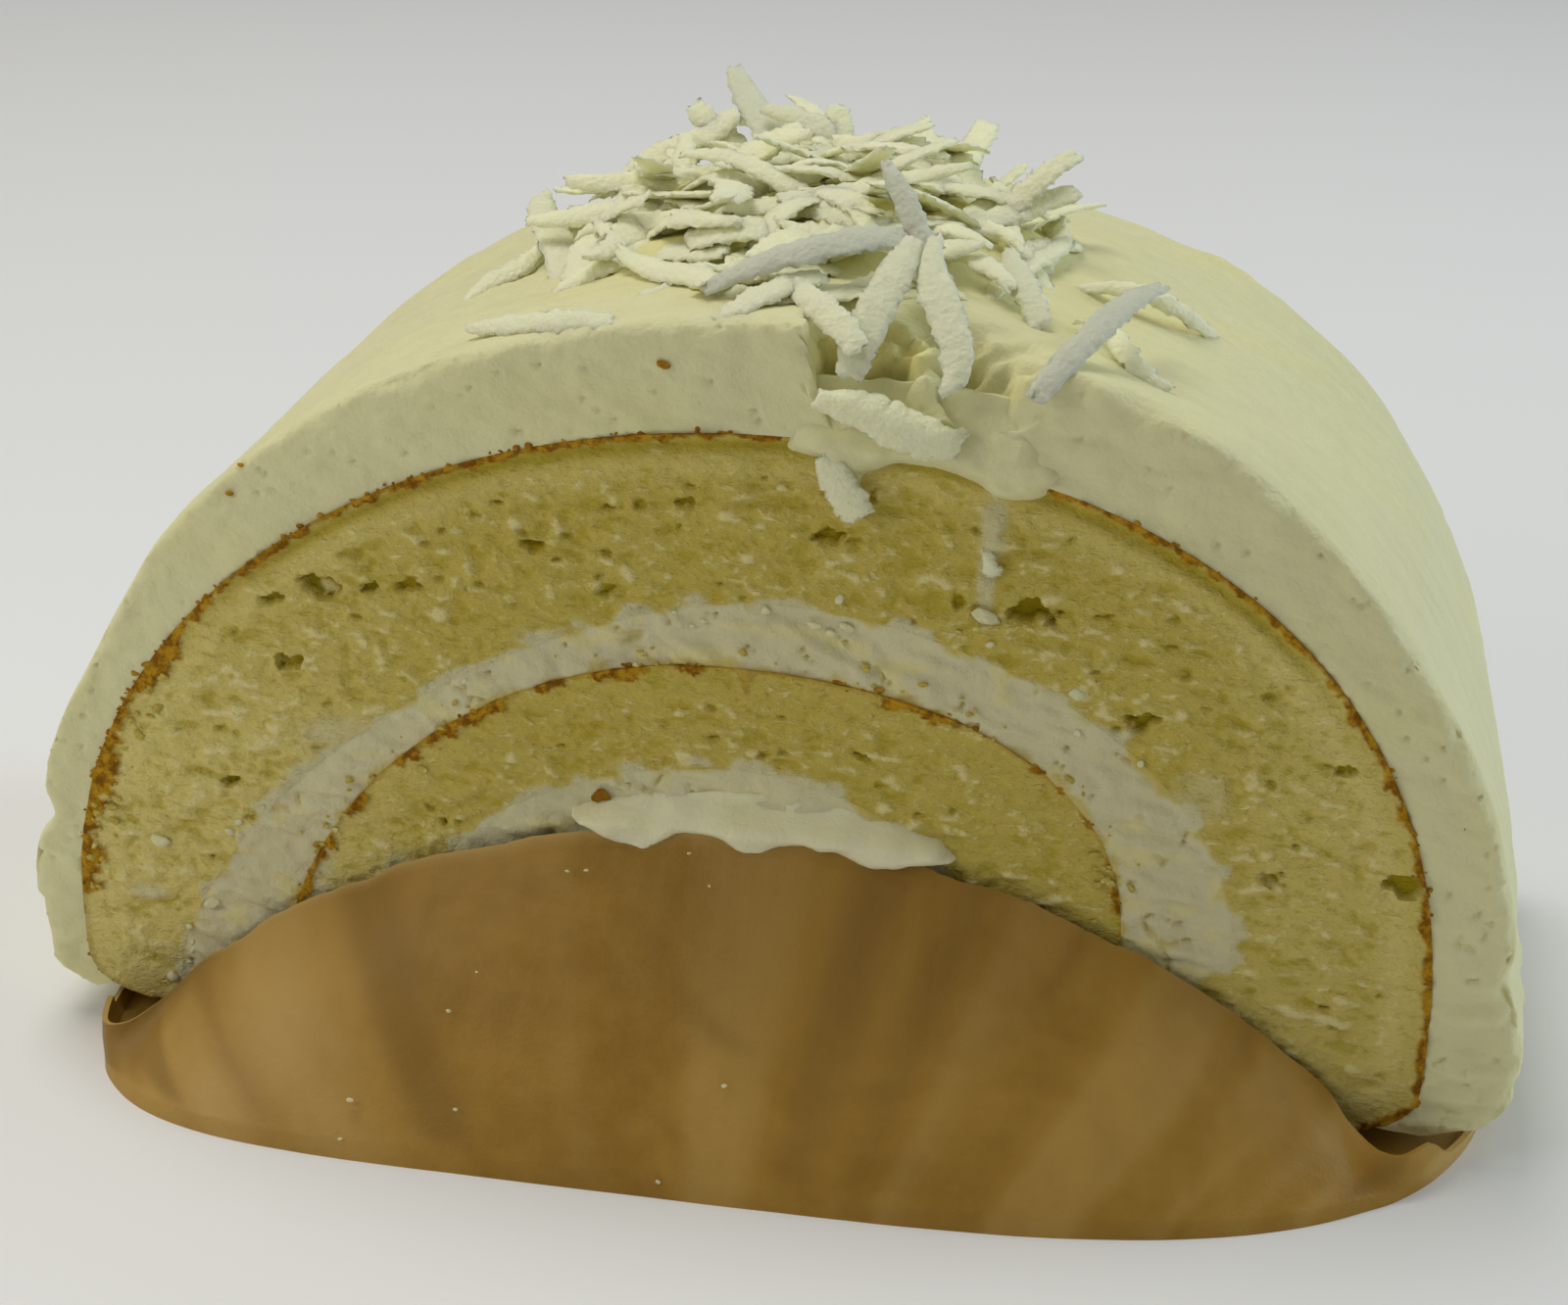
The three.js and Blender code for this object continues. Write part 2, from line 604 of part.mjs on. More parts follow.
// ---- the scene graph ----
function addPart(group, name, body, color, roughness) {
  const { vertProperties, triVerts } = body.getMesh();
  const geometry = new THREE.BufferGeometry();
  geometry.setAttribute('position', new THREE.BufferAttribute(vertProperties, 3));
  geometry.setIndex(new THREE.BufferAttribute(triVerts, 1));
  geometry.computeVertexNormals();
  const material = new THREE.MeshStandardMaterial({ color, roughness, metalness: 0 });
  const mesh = new THREE.Mesh(geometry, material);
  mesh.name = name;
  group.add(mesh);
}

const roll = new THREE.Group();
roll.name = 'swiss_roll';
addPart(roll, 'sponge', sponge, '#b5a262', 0.95);
addPart(roll, 'cream_filling', filling, '#d3cfb0', 0.6);
addPart(roll, 'outer_cream', coat, '#e6e3c3', 0.55);
addPart(roll, 'paper_case', paperCase(), '#8a6a3c', 0.75);

export default roll;
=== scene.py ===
"""A slice of coconut swiss roll in its round paper baking case.

The sponge gets its torn crumb and browned skin, the cream its knife and spatula marks, the paper
its pleats and grease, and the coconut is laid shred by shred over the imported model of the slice.
"""
import math

import bpy
import numpy as np
from mathutils import Matrix, Vector, kdtree
from mathutils.geometry import delaunay_2d_cdt


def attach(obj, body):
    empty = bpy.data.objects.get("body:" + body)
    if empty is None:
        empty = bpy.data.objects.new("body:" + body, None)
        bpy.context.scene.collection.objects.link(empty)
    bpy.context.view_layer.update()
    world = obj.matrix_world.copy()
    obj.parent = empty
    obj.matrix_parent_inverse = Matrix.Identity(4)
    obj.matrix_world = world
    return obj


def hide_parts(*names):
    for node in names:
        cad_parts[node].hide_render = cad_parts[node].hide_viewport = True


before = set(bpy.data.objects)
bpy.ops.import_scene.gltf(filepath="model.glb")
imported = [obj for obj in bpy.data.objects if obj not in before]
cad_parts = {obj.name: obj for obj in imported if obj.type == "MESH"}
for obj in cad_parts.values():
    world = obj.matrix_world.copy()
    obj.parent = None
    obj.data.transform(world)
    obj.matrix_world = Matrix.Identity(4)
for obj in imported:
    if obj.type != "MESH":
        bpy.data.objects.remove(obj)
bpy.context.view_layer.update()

# ---- sizes of the slice, in millimetres as on its drawing ----
MM = 0.001
HEIGHT, DEPTH = 48.5, 35.4
CUT = DEPTH / 2          # the cut faces are at y = -CUT and y = +CUT
FRONT, BACK = -1, 1      # the two cut faces
FLOOR = 0.8              # underside of the cake, on the paper
WAIST = 8.0              # height at which the coat and the cake are widest
COAT_ROUND = 2.1         # roundness of the coat's outline, where 2 is an oval


def side(reach, waist, round_, foot=FLOOR, corner=6.0):
    """One half of a curve: reach from the apex, height of the widest point, and its roundness."""
    return {"reach": reach, "waist": waist, "round": round_, "foot": foot, "corner": corner}


COAT = {"apex": (3.0, HEIGHT), "left": side(47.6, WAIST, COAT_ROUND),
        "right": side(41.9, WAIST, COAT_ROUND)}
SKIN = {"apex": (1.0, 41.9), "left": side(43, WAIST, 2.0), "right": side(38.8, WAIST, 2.3)}
FACE = {"apex": (1.0, 31.9), "left": side(37, 3, 1.6), "right": side(27.3, 13, 1.9, 9, 3)}
INNER_SKIN = {"apex": (-2.0, 27.8), "left": side(27, 3.5, 1.9),
              "right": side(24, 12.5, 2.3, 10.4, 3)}
CORE = {"apex": (-1.0, 21.3), "left": side(17.5, 12.5, 1.75, 9, 3),
        "right": side(14.5, 12.5, 1.85, 10.4, 3)}
# Angles at which the rolled sheet starts, low on the left, and ends, inside the roll.
SHEET_START = {"skin": 222, "face": 200}
SHEET_END = -20
OUTER_SKIN = 0.62        # share of the skin's length that lies on the outside of the roll
SKIN_LEFT = -30          # left of this the skin is torn

# Holes in the crumb: x, z, half width, half height and depth.
HOLES = [
    (-25.3, 30.6, 1.15, 0.75, 1.3), (-22.1, 31.0, 0.7, 0.45, 0.9), (-19.9, 31.4, 0.75, 0.4, 0.8),
    (-27.5, 25.6, 0.55, 0.4, 0.9), (-32.2, 17.5, 0.65, 0.5, 0.9), (4.8, 36.3, 1.2, 0.42, 0.9),
    (16.0, 32.7, 1.5, 0.7, 1.4), (22.6, 26.5, 1.0, 0.45, 1.0), (30.3, 17.2, 0.8, 0.4, 0.9),
    (-18.3, 16.4, 0.35, 0.35, 0.7), (37.4, 18.0, 0.9, 0.6, 1.0), (-12.4, 34.1, 0.7, 0.35, 0.6),
    (-3.6, 37.8, 0.8, 0.3, 0.6), (6.7, 22.8, 0.6, 0.3, 0.6), (-28.6, 29.6, 0.8, 0.35, 0.6),
    (-8.0, 32.2, 0.9, 0.35, 0.6), (11.5, 33.4, 0.5, 0.4, 0.6), (33.6, 24.4, 0.8, 0.35, 0.6),
]
# Places on the left where the browned skin is torn into thick patches: height and half height,
# and how much thicker it is.
SKIN_PATCHES = [(25.8, 1.5, 1.0), (23.4, 0.6, 0.7), (17.0, 2.2, 1.55), (11.4, 1.9, 0.85),
                (9.2, 0.7, 0.45)]
# Where cream is rubbed over the crumb: x, z, half width, half height and how much of it.
RUBBED = [(-27.6, 11.5, 2.2, 4.6, 0.95), (-30.4, 7.6, 2.4, 1.6, 0.6), (-26.0, 17.4, 2.6, 2.0, 0.8),
          (-24.4, 21.0, 3.0, 1.6, 0.6), (-34.6, 4.4, 2.4, 1.2, 0.5), (-21.4, 12.2, 1.2, 1.5, 0.7),
          (25.8, 22.4, 2.0, 1.6, 0.4), (13.6, 37.6, 0.8, 2.2, 0.75), (13.3, 34.4, 0.55, 2.6, 0.8),
          (-37.6, 9.2, 1.4, 0.6, 0.7), (-11.4, 18.2, 2.2, 0.8, 0.6)]

# The edge of the cream that is smeared down over the crumb: x and z.
SMEAR_EDGE = [
    (0.2, 44.9), (0.5, 43.0), (0.9, 41.9), (1.9, 40.6), (3.8, 40.0), (4.7, 38.6), (5.3, 37.6),
    (6.5, 38.3), (6.6, 39.6), (8.4, 40.2), (10.0, 40.3), (11.9, 39.6), (13.3, 38.6), (15.5, 38.6),
    (17.3, 39.6), (17.9, 41.6), (18.3, 43.6), (13.0, 44.9), (7.0, 45.2),
]
# Cream squeezed over the top edge of the front flap: x and z along its scalloped lower edge.
OOZE_EDGE = [
    (-10.6, 18.0), (-10.0, 17.2), (-8.6, 16.6), (-7.4, 15.9), (-6.0, 15.8), (-4.9, 16.3),
    (-3.9, 17.2), (-2.6, 17.3), (-1.4, 17.0), (-0.6, 16.4), (0.6, 15.9), (1.5, 16.1),
    (2.2, 16.9), (3.6, 17.1), (5.4, 16.9), (6.6, 16.2), (7.8, 15.9), (8.8, 16.3), (10.4, 16.7),
    (12.4, 17.0), (11.4, 18.2), (6.0, 19.5), (0.0, 19.9), (-6.0, 19.4),
]

# Bulges and hollows of the coat: side, height, half height and how far it stands out.
SWELLINGS = [(-1, 9.3, 2.6, 0.4), (-1, 14.0, 1.2, -0.9), (-1, 26.0, 6.5, -1.0),
             (1, 7.2, 2.6, 0.4), (1, 12.4, 1.4, -0.5), (1, 25.0, 8.0, -0.5)]
DENT = {"left": 3.4, "right": 17.0, "back": 6.0, "drop": 3.2, "push": 1.6}
COAT_STEP = 0.4          # distance between the points of the coat's outline
SOFT_SINK = 0.9          # how deep the rim of a soft pad is sunk into the face
PAD_BACK = 1.2           # how deep a pad's hidden back lies

PAPER_WALL = 0.5         # thickness of the paper's floor
FLAP_WALL = 0.34         # of its flaps and rim
FOLD_WALL = 0.36         # and where it folds up
CASE = {"left": (40.2, 6.0), "right": (44.4, 3.2), "fold": 29.9, "flap_radius": 51.6,
        "flap_height": 17.5, "corner": 2.8, "rim": 1.5, "bulge": 0.9, "flap_gap": 0.65}
# The hollow pressed into the front flap: x and z of its middle and its half width and height.
PRESSED = {"centre": (7.5, 17.2), "radius": (14.2, 11.4)}

# The heap of coconut: its middle, reach and height, and how much of it is cream.
HEAP = {"centre": (-1.0, 4.0), "reach": (17.0, 13.0), "height": 4.0, "core": 0.6}
PILE = {"count": 88, "middle": (0.5, 1.0), "reach": (17.5, 14.5), "length": (5.5, 12.0),
        "top": 54.0}
GOLDEN_ANGLE = 2.39996   # turn from one shred of the pile to the next
# Shreds seen one by one: place, heading and slope in degrees, length, width, bend and greyness, a
# painted shade for the shreds that lie in shade.
NAMED_SHREDS = [
    ((-4.4, 11, 51.6), -52, -24, 14.0, 2.5, 0.5, 0.75),
    ((-2.7, 11.4, 51.2), -40, -14, 10.0, 2.1, 0.9, 0.25),
    ((-9, 6.2, 50.3), -80, -28, 7.0, 1.8, 0.3, 0.2),
    ((-9.7, 4.3, 50), 22, 3, 11.0, 2.2, 0.6, 0.1),
    ((-16.2, 1.5, 46.8), -64, -8, 15.0, 2.5, 0.7, 0.35),
    ((-11.4, 0.5, 49), 10, 8, 11.0, 2.1, 0.4, 0.0),
    ((-10.2, -1.7, 49), -18, 6, 7.0, 2.0, 0.3, 0.0),
    ((-10.1, -5.8, 47.7), 42, 14, 8.0, 1.8, 0.6, 0.0),
    ((-5.2, -10.8, 48.5), -32, 2, 12.0, 1.9, 0.3, 0.05),
    ((2.9, -11.6, 50.6), 27, 8, 12.6, 2.1, 1.1, 1.0),
    ((7.6, -8.8, 51.6), -50, -44, 8.4, 1.6, 0.3, 1.0),
    ((0.8, -2.8, 50.4), -28, 2, 10.0, 2.1, 1.0, 0.3),
    ((6.6, -14.6, 48.9), -112, -36, 9.0, 2.5, 0.5, 0.55),
    ((10, -14.6, 48.7), -58, -34, 9.0, 2.3, 0.3, 0.5),
    ((0.4, -14.8, 49), 45, 14, 6.4, 2.1, 0.3, 0.35),
    ((3.7, -15.9, 48.5), -38, -18, 6.0, 2.0, 0.2, 0.3),
    ((10.6, -0.6, 50.4), 42, 6, 11.0, 2.1, -0.8, 0.3),
    ((12.9, 2, 51.3), 40, 36, 7.0, 1.8, 0.5, 0.3),
    ((13.6, -7.8, 48.4), -64, -16, 7.4, 1.8, 0.3, 0.55),
    ((13.4, -3, 48.1), 66, 4, 11.0, 1.9, 0.2, 0.15),
    ((20.4, -2, 45.9), 8, -22, 9.6, 1.2, 2.2, 0.2),
    ((18.6, -13.3, 47.8), -116, -15, 12.0, 1.9, 1.0, 1.0),
    ((19.6, -11.1, 46), -60, -22, 6.4, 1.5, 0.4, 0.2),
    ((-12.4, -15.9, 46.8), -12, 11, 8.6, 1.7, 0.2, 0.3),
    ((-18.6, -1.7, 45), 39, 20, 6.0, 1.6, 0.2, 0.2),
    ((-9.6, 8.2, 50.2), 76, 4, 8.6, 1.9, 0.4, 0.1),
    ((-10.5, 10, 50.6), 12, 22, 8.4, 2.2, 0.3, 0.2),
    ((-7.5, 11, 51.4), 160, 34, 5.6, 2.0, 0.2, 0.35),
    ((-1.2, 10, 52.2), -14, -24, 7.5, 1.9, 0.9, 0.5),
    ((0.4, 9.4, 51.8), 110, 42, 5.6, 1.9, 0.2, 0.4),
    ((3.6, 8.4, 51.8), 4, -2, 7.0, 2.2, 0.5, 0.1),
]

# Single crumbs and specks on the front: x, y, z and size.
BROWN_SPECKS = [
    (-29.7, -17.7, 37.8, 0.3), (-30.4, -17.75, 36.0, 0.3), (-4.9, -17.75, 45.5, 0.55),
    (40.2, -17.75, 21.9, 0.35), (-8.7, -17.9, 18.9, 0.7), (-7.9, -17.9, 18.6, 0.5),
]
CREAM_SPECKS = [(13.4, -18.0, 32.3, 0.95), (-30.0, -17.9, 3.2, 0.9), (-36.4, -17.9, 12.9, 0.8)]
# Crumbs that lie on the front flap: x, z and size.
FLAP_CRUMBS = [
    (-9.0, 15.4, 0.35), (-10.1, 15.2, 0.3), (-3.0, 16.8, 0.3), (-21.2, 3.3, 0.55),
    (-21.5, 1.3, 0.35), (-16.0, 8.0, 0.35), (-14.7, 10.0, 0.25), (0.7, 6.3, 0.4),
    (-14.8, 3.5, 0.35), (-1.6, 15.3, 0.3), (-2.6, 1.0, 0.4),
]


# ---- soft steps, chance and noise, the same on every run ----
def smooth(t):
    """A soft step from 0 to 1 while t goes from 0 to 1."""
    t = np.clip(t, 0.0, 1.0)
    return t * t * (3 - 2 * t)


def hump(value, middle, half):
    """1 where the value is at the middle, fading away over about `half` on both sides."""
    return np.exp(-((value - middle) / half) ** 2)


def spot(x, z, middle_x, middle_z, half_w, half_h):
    """1 at the middle of a soft oval spot and 0 outside it."""
    r = np.hypot((x - middle_x) / half_w, (z - middle_z) / half_h)
    return smooth((1.25 - r) / 0.7)


def chance(i, j=0, k=0):
    """A number between 0 and 1 that looks picked at random, for whole numbers i, j and k."""
    s = np.sin(np.asarray(i) * 12.9898 + np.asarray(j) * 78.233 + k * 37.719) * 43758.5453
    return s - np.floor(s)


def noise(u, v, seed):
    """Smooth noise between -1 and 1 over a plane, one draw for each unit cell."""
    i, j = np.floor(u), np.floor(v)
    a, b = smooth(u - i), smooth(v - j)
    low = chance(i, j, seed) * (1 - a) + chance(i + 1, j, seed) * a
    high = chance(i, j + 1, seed) * (1 - a) + chance(i + 1, j + 1, seed) * a
    return 2 * (low * (1 - b) + high * b) - 1


def layers(u, v, *sizes):
    """Layers of noise added up: each one's height, its lengths along u and v, and its seed."""
    return sum(height * noise(u / long, v / wide, seed) for height, long, wide, seed in sizes)


def cells(u, v, seed):
    """Distance to the nearest of one point a cell, and that point's own draw."""
    near = np.full(u.shape, 9.0)
    draw = np.zeros(u.shape)
    for di in (-1, 0, 1):
        for dj in (-1, 0, 1):
            i, j = np.floor(u) + di, np.floor(v) + dj
            d = np.hypot(i + chance(i, j, seed) - u, j + chance(i, j, seed + 1) - v)
            closer = d < near
            near = np.where(closer, d, near)
            draw = np.where(closer, chance(i, j, seed + 2), draw)
    return near, draw


# ---- curves ----
def curve(shape, start, end, steps=700):
    """Points [x, z] of a curve between two angles, 0 at the right and 90 at the top."""
    angle = np.radians(np.linspace(start, end, steps))
    c, s = np.cos(angle), np.sin(angle)
    pick = lambda key: np.where(c < 0, shape["left"][key], shape["right"][key])
    power = 2 / np.where(s < 0, pick("corner"), pick("round"))
    rise = np.where(s < 0, pick("waist") - pick("foot"), shape["apex"][1] - pick("waist"))
    return np.column_stack([
        shape["apex"][0] + np.sign(c) * pick("reach") * np.abs(c) ** power,
        pick("waist") + np.sign(s) * rise * np.abs(s) ** power])


def spaced(path, step):
    """The same path with its points about `step` apart."""
    along = np.concatenate([[0], np.cumsum(np.hypot(*np.diff(path, axis=0).T))])
    t = np.linspace(0, along[-1], max(3, int(round(along[-1] / step)) + 1))
    return np.column_stack([np.interp(t, along, path[:, k]) for k in (0, 1)])


def sideways(path):
    """The direction to the left of travel at each point of a path."""
    d = np.gradient(path, axis=0)
    d /= np.maximum(np.hypot(d[:, 0], d[:, 1]), 1e-9)[:, None]
    return np.column_stack([-d[:, 1], d[:, 0]])


def beside(path, distance):
    """The path moved to the left of its direction of travel, but never below the cake's floor."""
    moved = path + distance * sideways(path)
    moved[:, 1] = np.maximum(moved[:, 1], FLOOR)
    return moved


def closed(outline, step):
    """A closed outline with its points about `step` apart all the way round."""
    return spaced(np.vstack([outline, outline[:1]]), step)[:-1]


def waved(outline, step, size, seed):
    """A closed outline with small uneven waves."""
    outline = closed(outline, step)
    wave = size * noise(outline[:, 0] / 0.9, outline[:, 1] / 0.9, seed)
    return outline - wave[:, None] * sideways(outline)


def anticlockwise(outline):
    """The outline, running anticlockwise."""
    after = np.roll(outline, -1, axis=0)
    area = np.sum(outline[:, 0] * after[:, 1] - after[:, 0] * outline[:, 1])
    return outline[::-1] if area < 0 else outline


def coat_top(x):
    """Height of the coat's outline at x."""
    x = np.asarray(x, float)
    reach = np.where(x < COAT["apex"][0], COAT["left"]["reach"], COAT["right"]["reach"])
    t = np.clip(np.abs(x - COAT["apex"][0]) / reach, 0, 0.999)
    return WAIST + (HEIGHT - WAIST) * (1 - t ** COAT_ROUND) ** (1 / COAT_ROUND)


def heap_height(x, y):
    """How high the coconut is heaped over the cream at a place."""
    away = np.hypot((x - HEAP["centre"][0]) / HEAP["reach"][0],
                    (y - HEAP["centre"][1]) / HEAP["reach"][1])
    return HEAP["height"] * np.maximum(0, 1 - away ** 3)


# ---- closed slabs with fine cut faces ----
GRID_ROW = 0.866         # the rows of a cut face's grid are this share of a step apart,
GRID_JITTER = 0.42       # its points are moved by up to this share
GRID_MARGIN = 0.55       # and kept this share clear of the outline
SHARP_EDGE = math.radians(62)


def nearest(points, path):
    """For each point, the distance to the path and the number of its nearest path point."""
    tree = kdtree.KDTree(len(path))
    for n, p in enumerate(path):
        tree.insert((p[0], p[1], 0), n)
    tree.balance()
    found = [tree.find((p[0], p[1], 0)) for p in points]
    return np.array([f[2] for f in found]), np.array([f[1] for f in found])


def inside(points, outline):
    """Which of the points are inside a closed outline."""
    hit = np.zeros(len(points), bool)
    for (x0, z0), (x1, z1) in zip(outline, np.roll(outline, -1, axis=0)):
        if z0 == z1:
            continue
        rows = (points[:, 1] > min(z0, z1)) & (points[:, 1] <= max(z0, z1))
        hit ^= rows & (points[:, 0] < x0 + (points[:, 1] - z0) * (x1 - x0) / (z1 - z0))
    return hit


def cut_face(outline, step, seed):
    """Points and triangles that fill an outline, its own points first, on a jittered grid."""
    lo, hi = outline.min(0), outline.max(0)
    x, z = np.meshgrid(np.arange(lo[0], hi[0], step), np.arange(lo[1], hi[1], step * GRID_ROW))
    x[1::2] += step / 2
    grid = np.column_stack([x.ravel(), z.ravel()])
    number = np.arange(len(grid))
    grid += step * GRID_JITTER * np.column_stack([chance(number, 1, seed), chance(number, 2, seed)])
    grid = grid[inside(grid, outline)]
    grid = grid[nearest(grid, outline)[0] > step * GRID_MARGIN]
    points = np.vstack([outline, grid])
    rim = len(outline)
    edges = [(i, (i + 1) % rim) for i in range(rim)]
    _, _, faces, origin, _, _ = delaunay_2d_cdt(
        [Vector(p) for p in points.tolist()], edges, [], 1, 1e-7)
    number = np.array([o[0] for o in origin])
    return points, number[np.array(faces)]


def wall(first, second, rim):
    """Triangles between two rings of `rim` points, numbered from `first` and from `second`."""
    i = np.arange(rim)
    j = (i + 1) % rim
    return np.vstack([np.column_stack([first + i, second + i, first + j]),
                      np.column_stack([first + j, second + i, second + j])])


def slab(outline, step, back_step, rows, seed):
    """A closed slab between the cut faces. Gives its points, its triangles and where each point
    is: on the FRONT or BACK face, or 0 on the side wall."""
    outline = anticlockwise(outline)
    front, front_faces = cut_face(outline, step, seed)
    back, back_faces = cut_face(outline, back_step, seed + 5)
    sheet = lambda pts, y: np.column_stack([pts[:, 0], np.full(len(pts), y), pts[:, 1]])
    sheets = [sheet(front, -CUT)]
    sheets += [sheet(outline, -CUT + DEPTH * r / rows) for r in range(1, rows)]
    sheets.append(sheet(back, CUT))
    starts = np.cumsum([0] + [len(points) for points in sheets])
    faces = [front_faces, back_faces[:, ::-1] + starts[rows]]
    faces += [wall(starts[r], starts[r + 1], len(outline)) for r in range(rows)]
    where = np.zeros(starts[-1], int)
    where[:len(front)] = FRONT
    where[starts[rows]:] = BACK
    return np.vstack(sheets), np.vstack(faces), where


def piece(name, points, faces, material, marks):
    """A mesh object from points in millimetres, with float marks on its points."""
    mesh = bpy.data.meshes.new(name)
    faces = np.asarray(faces, dtype=np.int32)
    mesh.vertices.add(len(points))
    mesh.vertices.foreach_set("co", (np.asarray(points) * MM).astype(np.float32).ravel())
    mesh.loops.add(faces.size)
    mesh.loops.foreach_set("vertex_index", faces.ravel())
    mesh.polygons.add(len(faces))
    starts = np.arange(len(faces), dtype=np.int32) * faces.shape[1]
    mesh.polygons.foreach_set("loop_start", starts)
    mesh.polygons.foreach_set("use_smooth", np.full(len(faces), True))
    mesh.update(calc_edges=True)
    mesh.validate()
    mesh.set_sharp_from_angle(angle=SHARP_EDGE)
    for key, values in marks.items():
        mark = mesh.attributes.new(key, "FLOAT", "POINT")
        mark.data.foreach_set("value", np.asarray(values, dtype=np.float32))
    mesh.materials.append(material)
    thing = bpy.data.objects.new(name, mesh)
    bpy.context.scene.collection.objects.link(thing)
    return thing


# ---- finishes ----
class Nodes:
    """Short ways of making and joining the nodes of a tree."""

    def __init__(self, tree):
        self.tree = tree

    def node(self, kind, inputs=None, **settings):
        """A new node with its settings made, and its inputs set or linked."""
        made = self.tree.nodes.new(kind)
        for key, value in settings.items():
            setattr(made, key, value)
        for key, value in (inputs or {}).items():
            self.feed(made.inputs[key], value)
        return made

    def out(self, kind, inputs=None, output=0, **settings):
        """One output of a new node."""
        return self.node(kind, inputs, **settings).outputs[output]

    def feed(self, socket, value):
        """Links an output to the socket, or sets the socket to a plain value."""
        if isinstance(value, bpy.types.NodeSocket):
            self.tree.links.new(value, socket)
        else:
            socket.default_value = value

    def maths(self, operation, *values):
        return self.out("ShaderNodeMath", dict(enumerate(values)), operation=operation)

    def vector(self, operation, first, second=None):
        """Vector maths, where SCALE takes a number second and LENGTH gives one."""
        inputs = {0: first}
        if second is not None:
            inputs["Scale" if operation == "SCALE" else 1] = second
        output = "Value" if operation == "LENGTH" else "Vector"
        return self.out("ShaderNodeVectorMath", inputs, output, operation=operation)

    def attribute(self, name, kind="FLOAT"):
        return self.out("GeometryNodeInputNamedAttribute", {"Name": name}, data_type=kind)


class Finish(Nodes):
    """A procedural finish built up node by node on a Principled shader."""

    def __init__(self, name, **sockets):
        self.material = bpy.data.materials.new(name)
        self.material.use_nodes = True
        super().__init__(self.material.node_tree)
        self.shader = self.tree.nodes["Principled BSDF"]
        for key, value in sockets.items():
            self.shader.inputs[key.replace("_", " ")].default_value = value
        self.place = self.tree.nodes.new("ShaderNodeTexCoord").outputs["Object"]

    def scaled(self, per_mm, stretch=(1, 1, 1)):
        """The place with `per_mm` units to the millimetre, drawn out along the axes."""
        return self.out("ShaderNodeMapping", {
            "Vector": self.place, "Scale": [per_mm / MM / s for s in stretch]})

    def noise(self, per_mm, detail=3.0, rough=0.55, stretch=(1, 1, 1), twist=0.0):
        return self.out("ShaderNodeTexNoise", {
            "Vector": self.scaled(per_mm, stretch), "Scale": 1.0, "Detail": detail,
            "Roughness": rough, "Distortion": twist}, "Fac")

    def pits(self, per_mm):
        return self.out("ShaderNodeTexVoronoi", {"Vector": self.scaled(per_mm), "Scale": 1.0},
                        "Distance", feature="F1")

    def mark(self, name):
        return self.out("ShaderNodeAttribute", None, "Fac", attribute_name=name)

    def span(self, value, low, high, to_low=0.0, to_high=1.0):
        """Runs softly from `to_low` to `to_high` while the value runs from low to high."""
        return self.out("ShaderNodeMapRange", dict(enumerate((value, low, high, to_low, to_high))),
                        interpolation_type="SMOOTHSTEP")

    def mix(self, share, first, second):
        """Two colours mixed, with `share` of the second."""
        colours = [(*v, 1.0) if isinstance(v, tuple) else v for v in (first, second)]
        return self.out("ShaderNodeMix", {0: share, 6: colours[0], 7: colours[1]}, 2,
                        data_type="RGBA")

    def tinge(self, base, colour, share, value, low, high):
        """The base with up to `share` of a colour where the value runs from low to high."""
        return self.mix(self.maths("MULTIPLY", self.span(value, low, high), share), base, colour)

    def colour(self, value):
        self.feed(self.shader.inputs["Base Color"], value)

    def rough(self, per_mm, low, high):
        """Roughness that drifts between two values."""
        self.feed(self.shader.inputs["Roughness"], self.span(self.noise(per_mm), 0.3, 0.7, low, high))

    def bump(self, *reliefs):
        """Bump from one relief after another, each a height and its size in millimetres."""
        normal = None
        for height, size in reliefs:
            inputs = {"Strength": 1.0, "Distance": size * MM, "Height": height}
            if normal is not None:
                inputs["Normal"] = normal
            normal = self.out("ShaderNodeBump", inputs)
        self.feed(self.shader.inputs["Normal"], normal)


def sponge_finish():
    f = Finish("sponge_crumb", Roughness=0.88, Specular_IOR_Level=0.2)
    crumb, warm_crumb = (0.615, 0.49, 0.105), (0.57, 0.455, 0.085)
    pale, deep, fleck = (0.79, 0.67, 0.23), (0.45, 0.350, 0.012), (0.88, 0.79, 0.38)
    dark_skin, light_skin = (0.25, 0.100, 0.0), (0.56, 0.31, 0.012)
    grain = f.noise(1.25, 5.0, 0.66, (1.9, 1, 1), 0.3)
    fine = f.noise(3.2, 3.0, 0.6, (1.5, 1, 1))
    base = f.tinge(crumb, warm_crumb, 0.4, f.noise(0.13, 2.0), 0.3, 0.7)
    base = f.mix(f.mark("pale"), base, pale)
    base = f.tinge(base, deep, 0.55, grain, 0.46, 0.34)
    base = f.tinge(base, fleck, 0.7, grain, 0.58, 0.70)
    base = f.tinge(base, fleck, 0.35, fine, 0.56, 0.72)
    # Pores, together with the painted shade line under the top skin, take the deep colour.
    base = f.mix(f.mark("pore_and_shade"), base, deep)
    base = f.mix(f.mark("flake"), base, fleck)
    base = f.mix(f.mark("cream"), base, (0.70, 0.65, 0.375))
    bake = f.span(f.noise(1.3, 4.0, 0.65), 0.38, 0.62)
    f.colour(f.mix(f.mark("skin"), base, f.mix(bake, dark_skin, light_skin)))
    f.bump((grain, 0.42), (fine, 0.16))
    return f.material


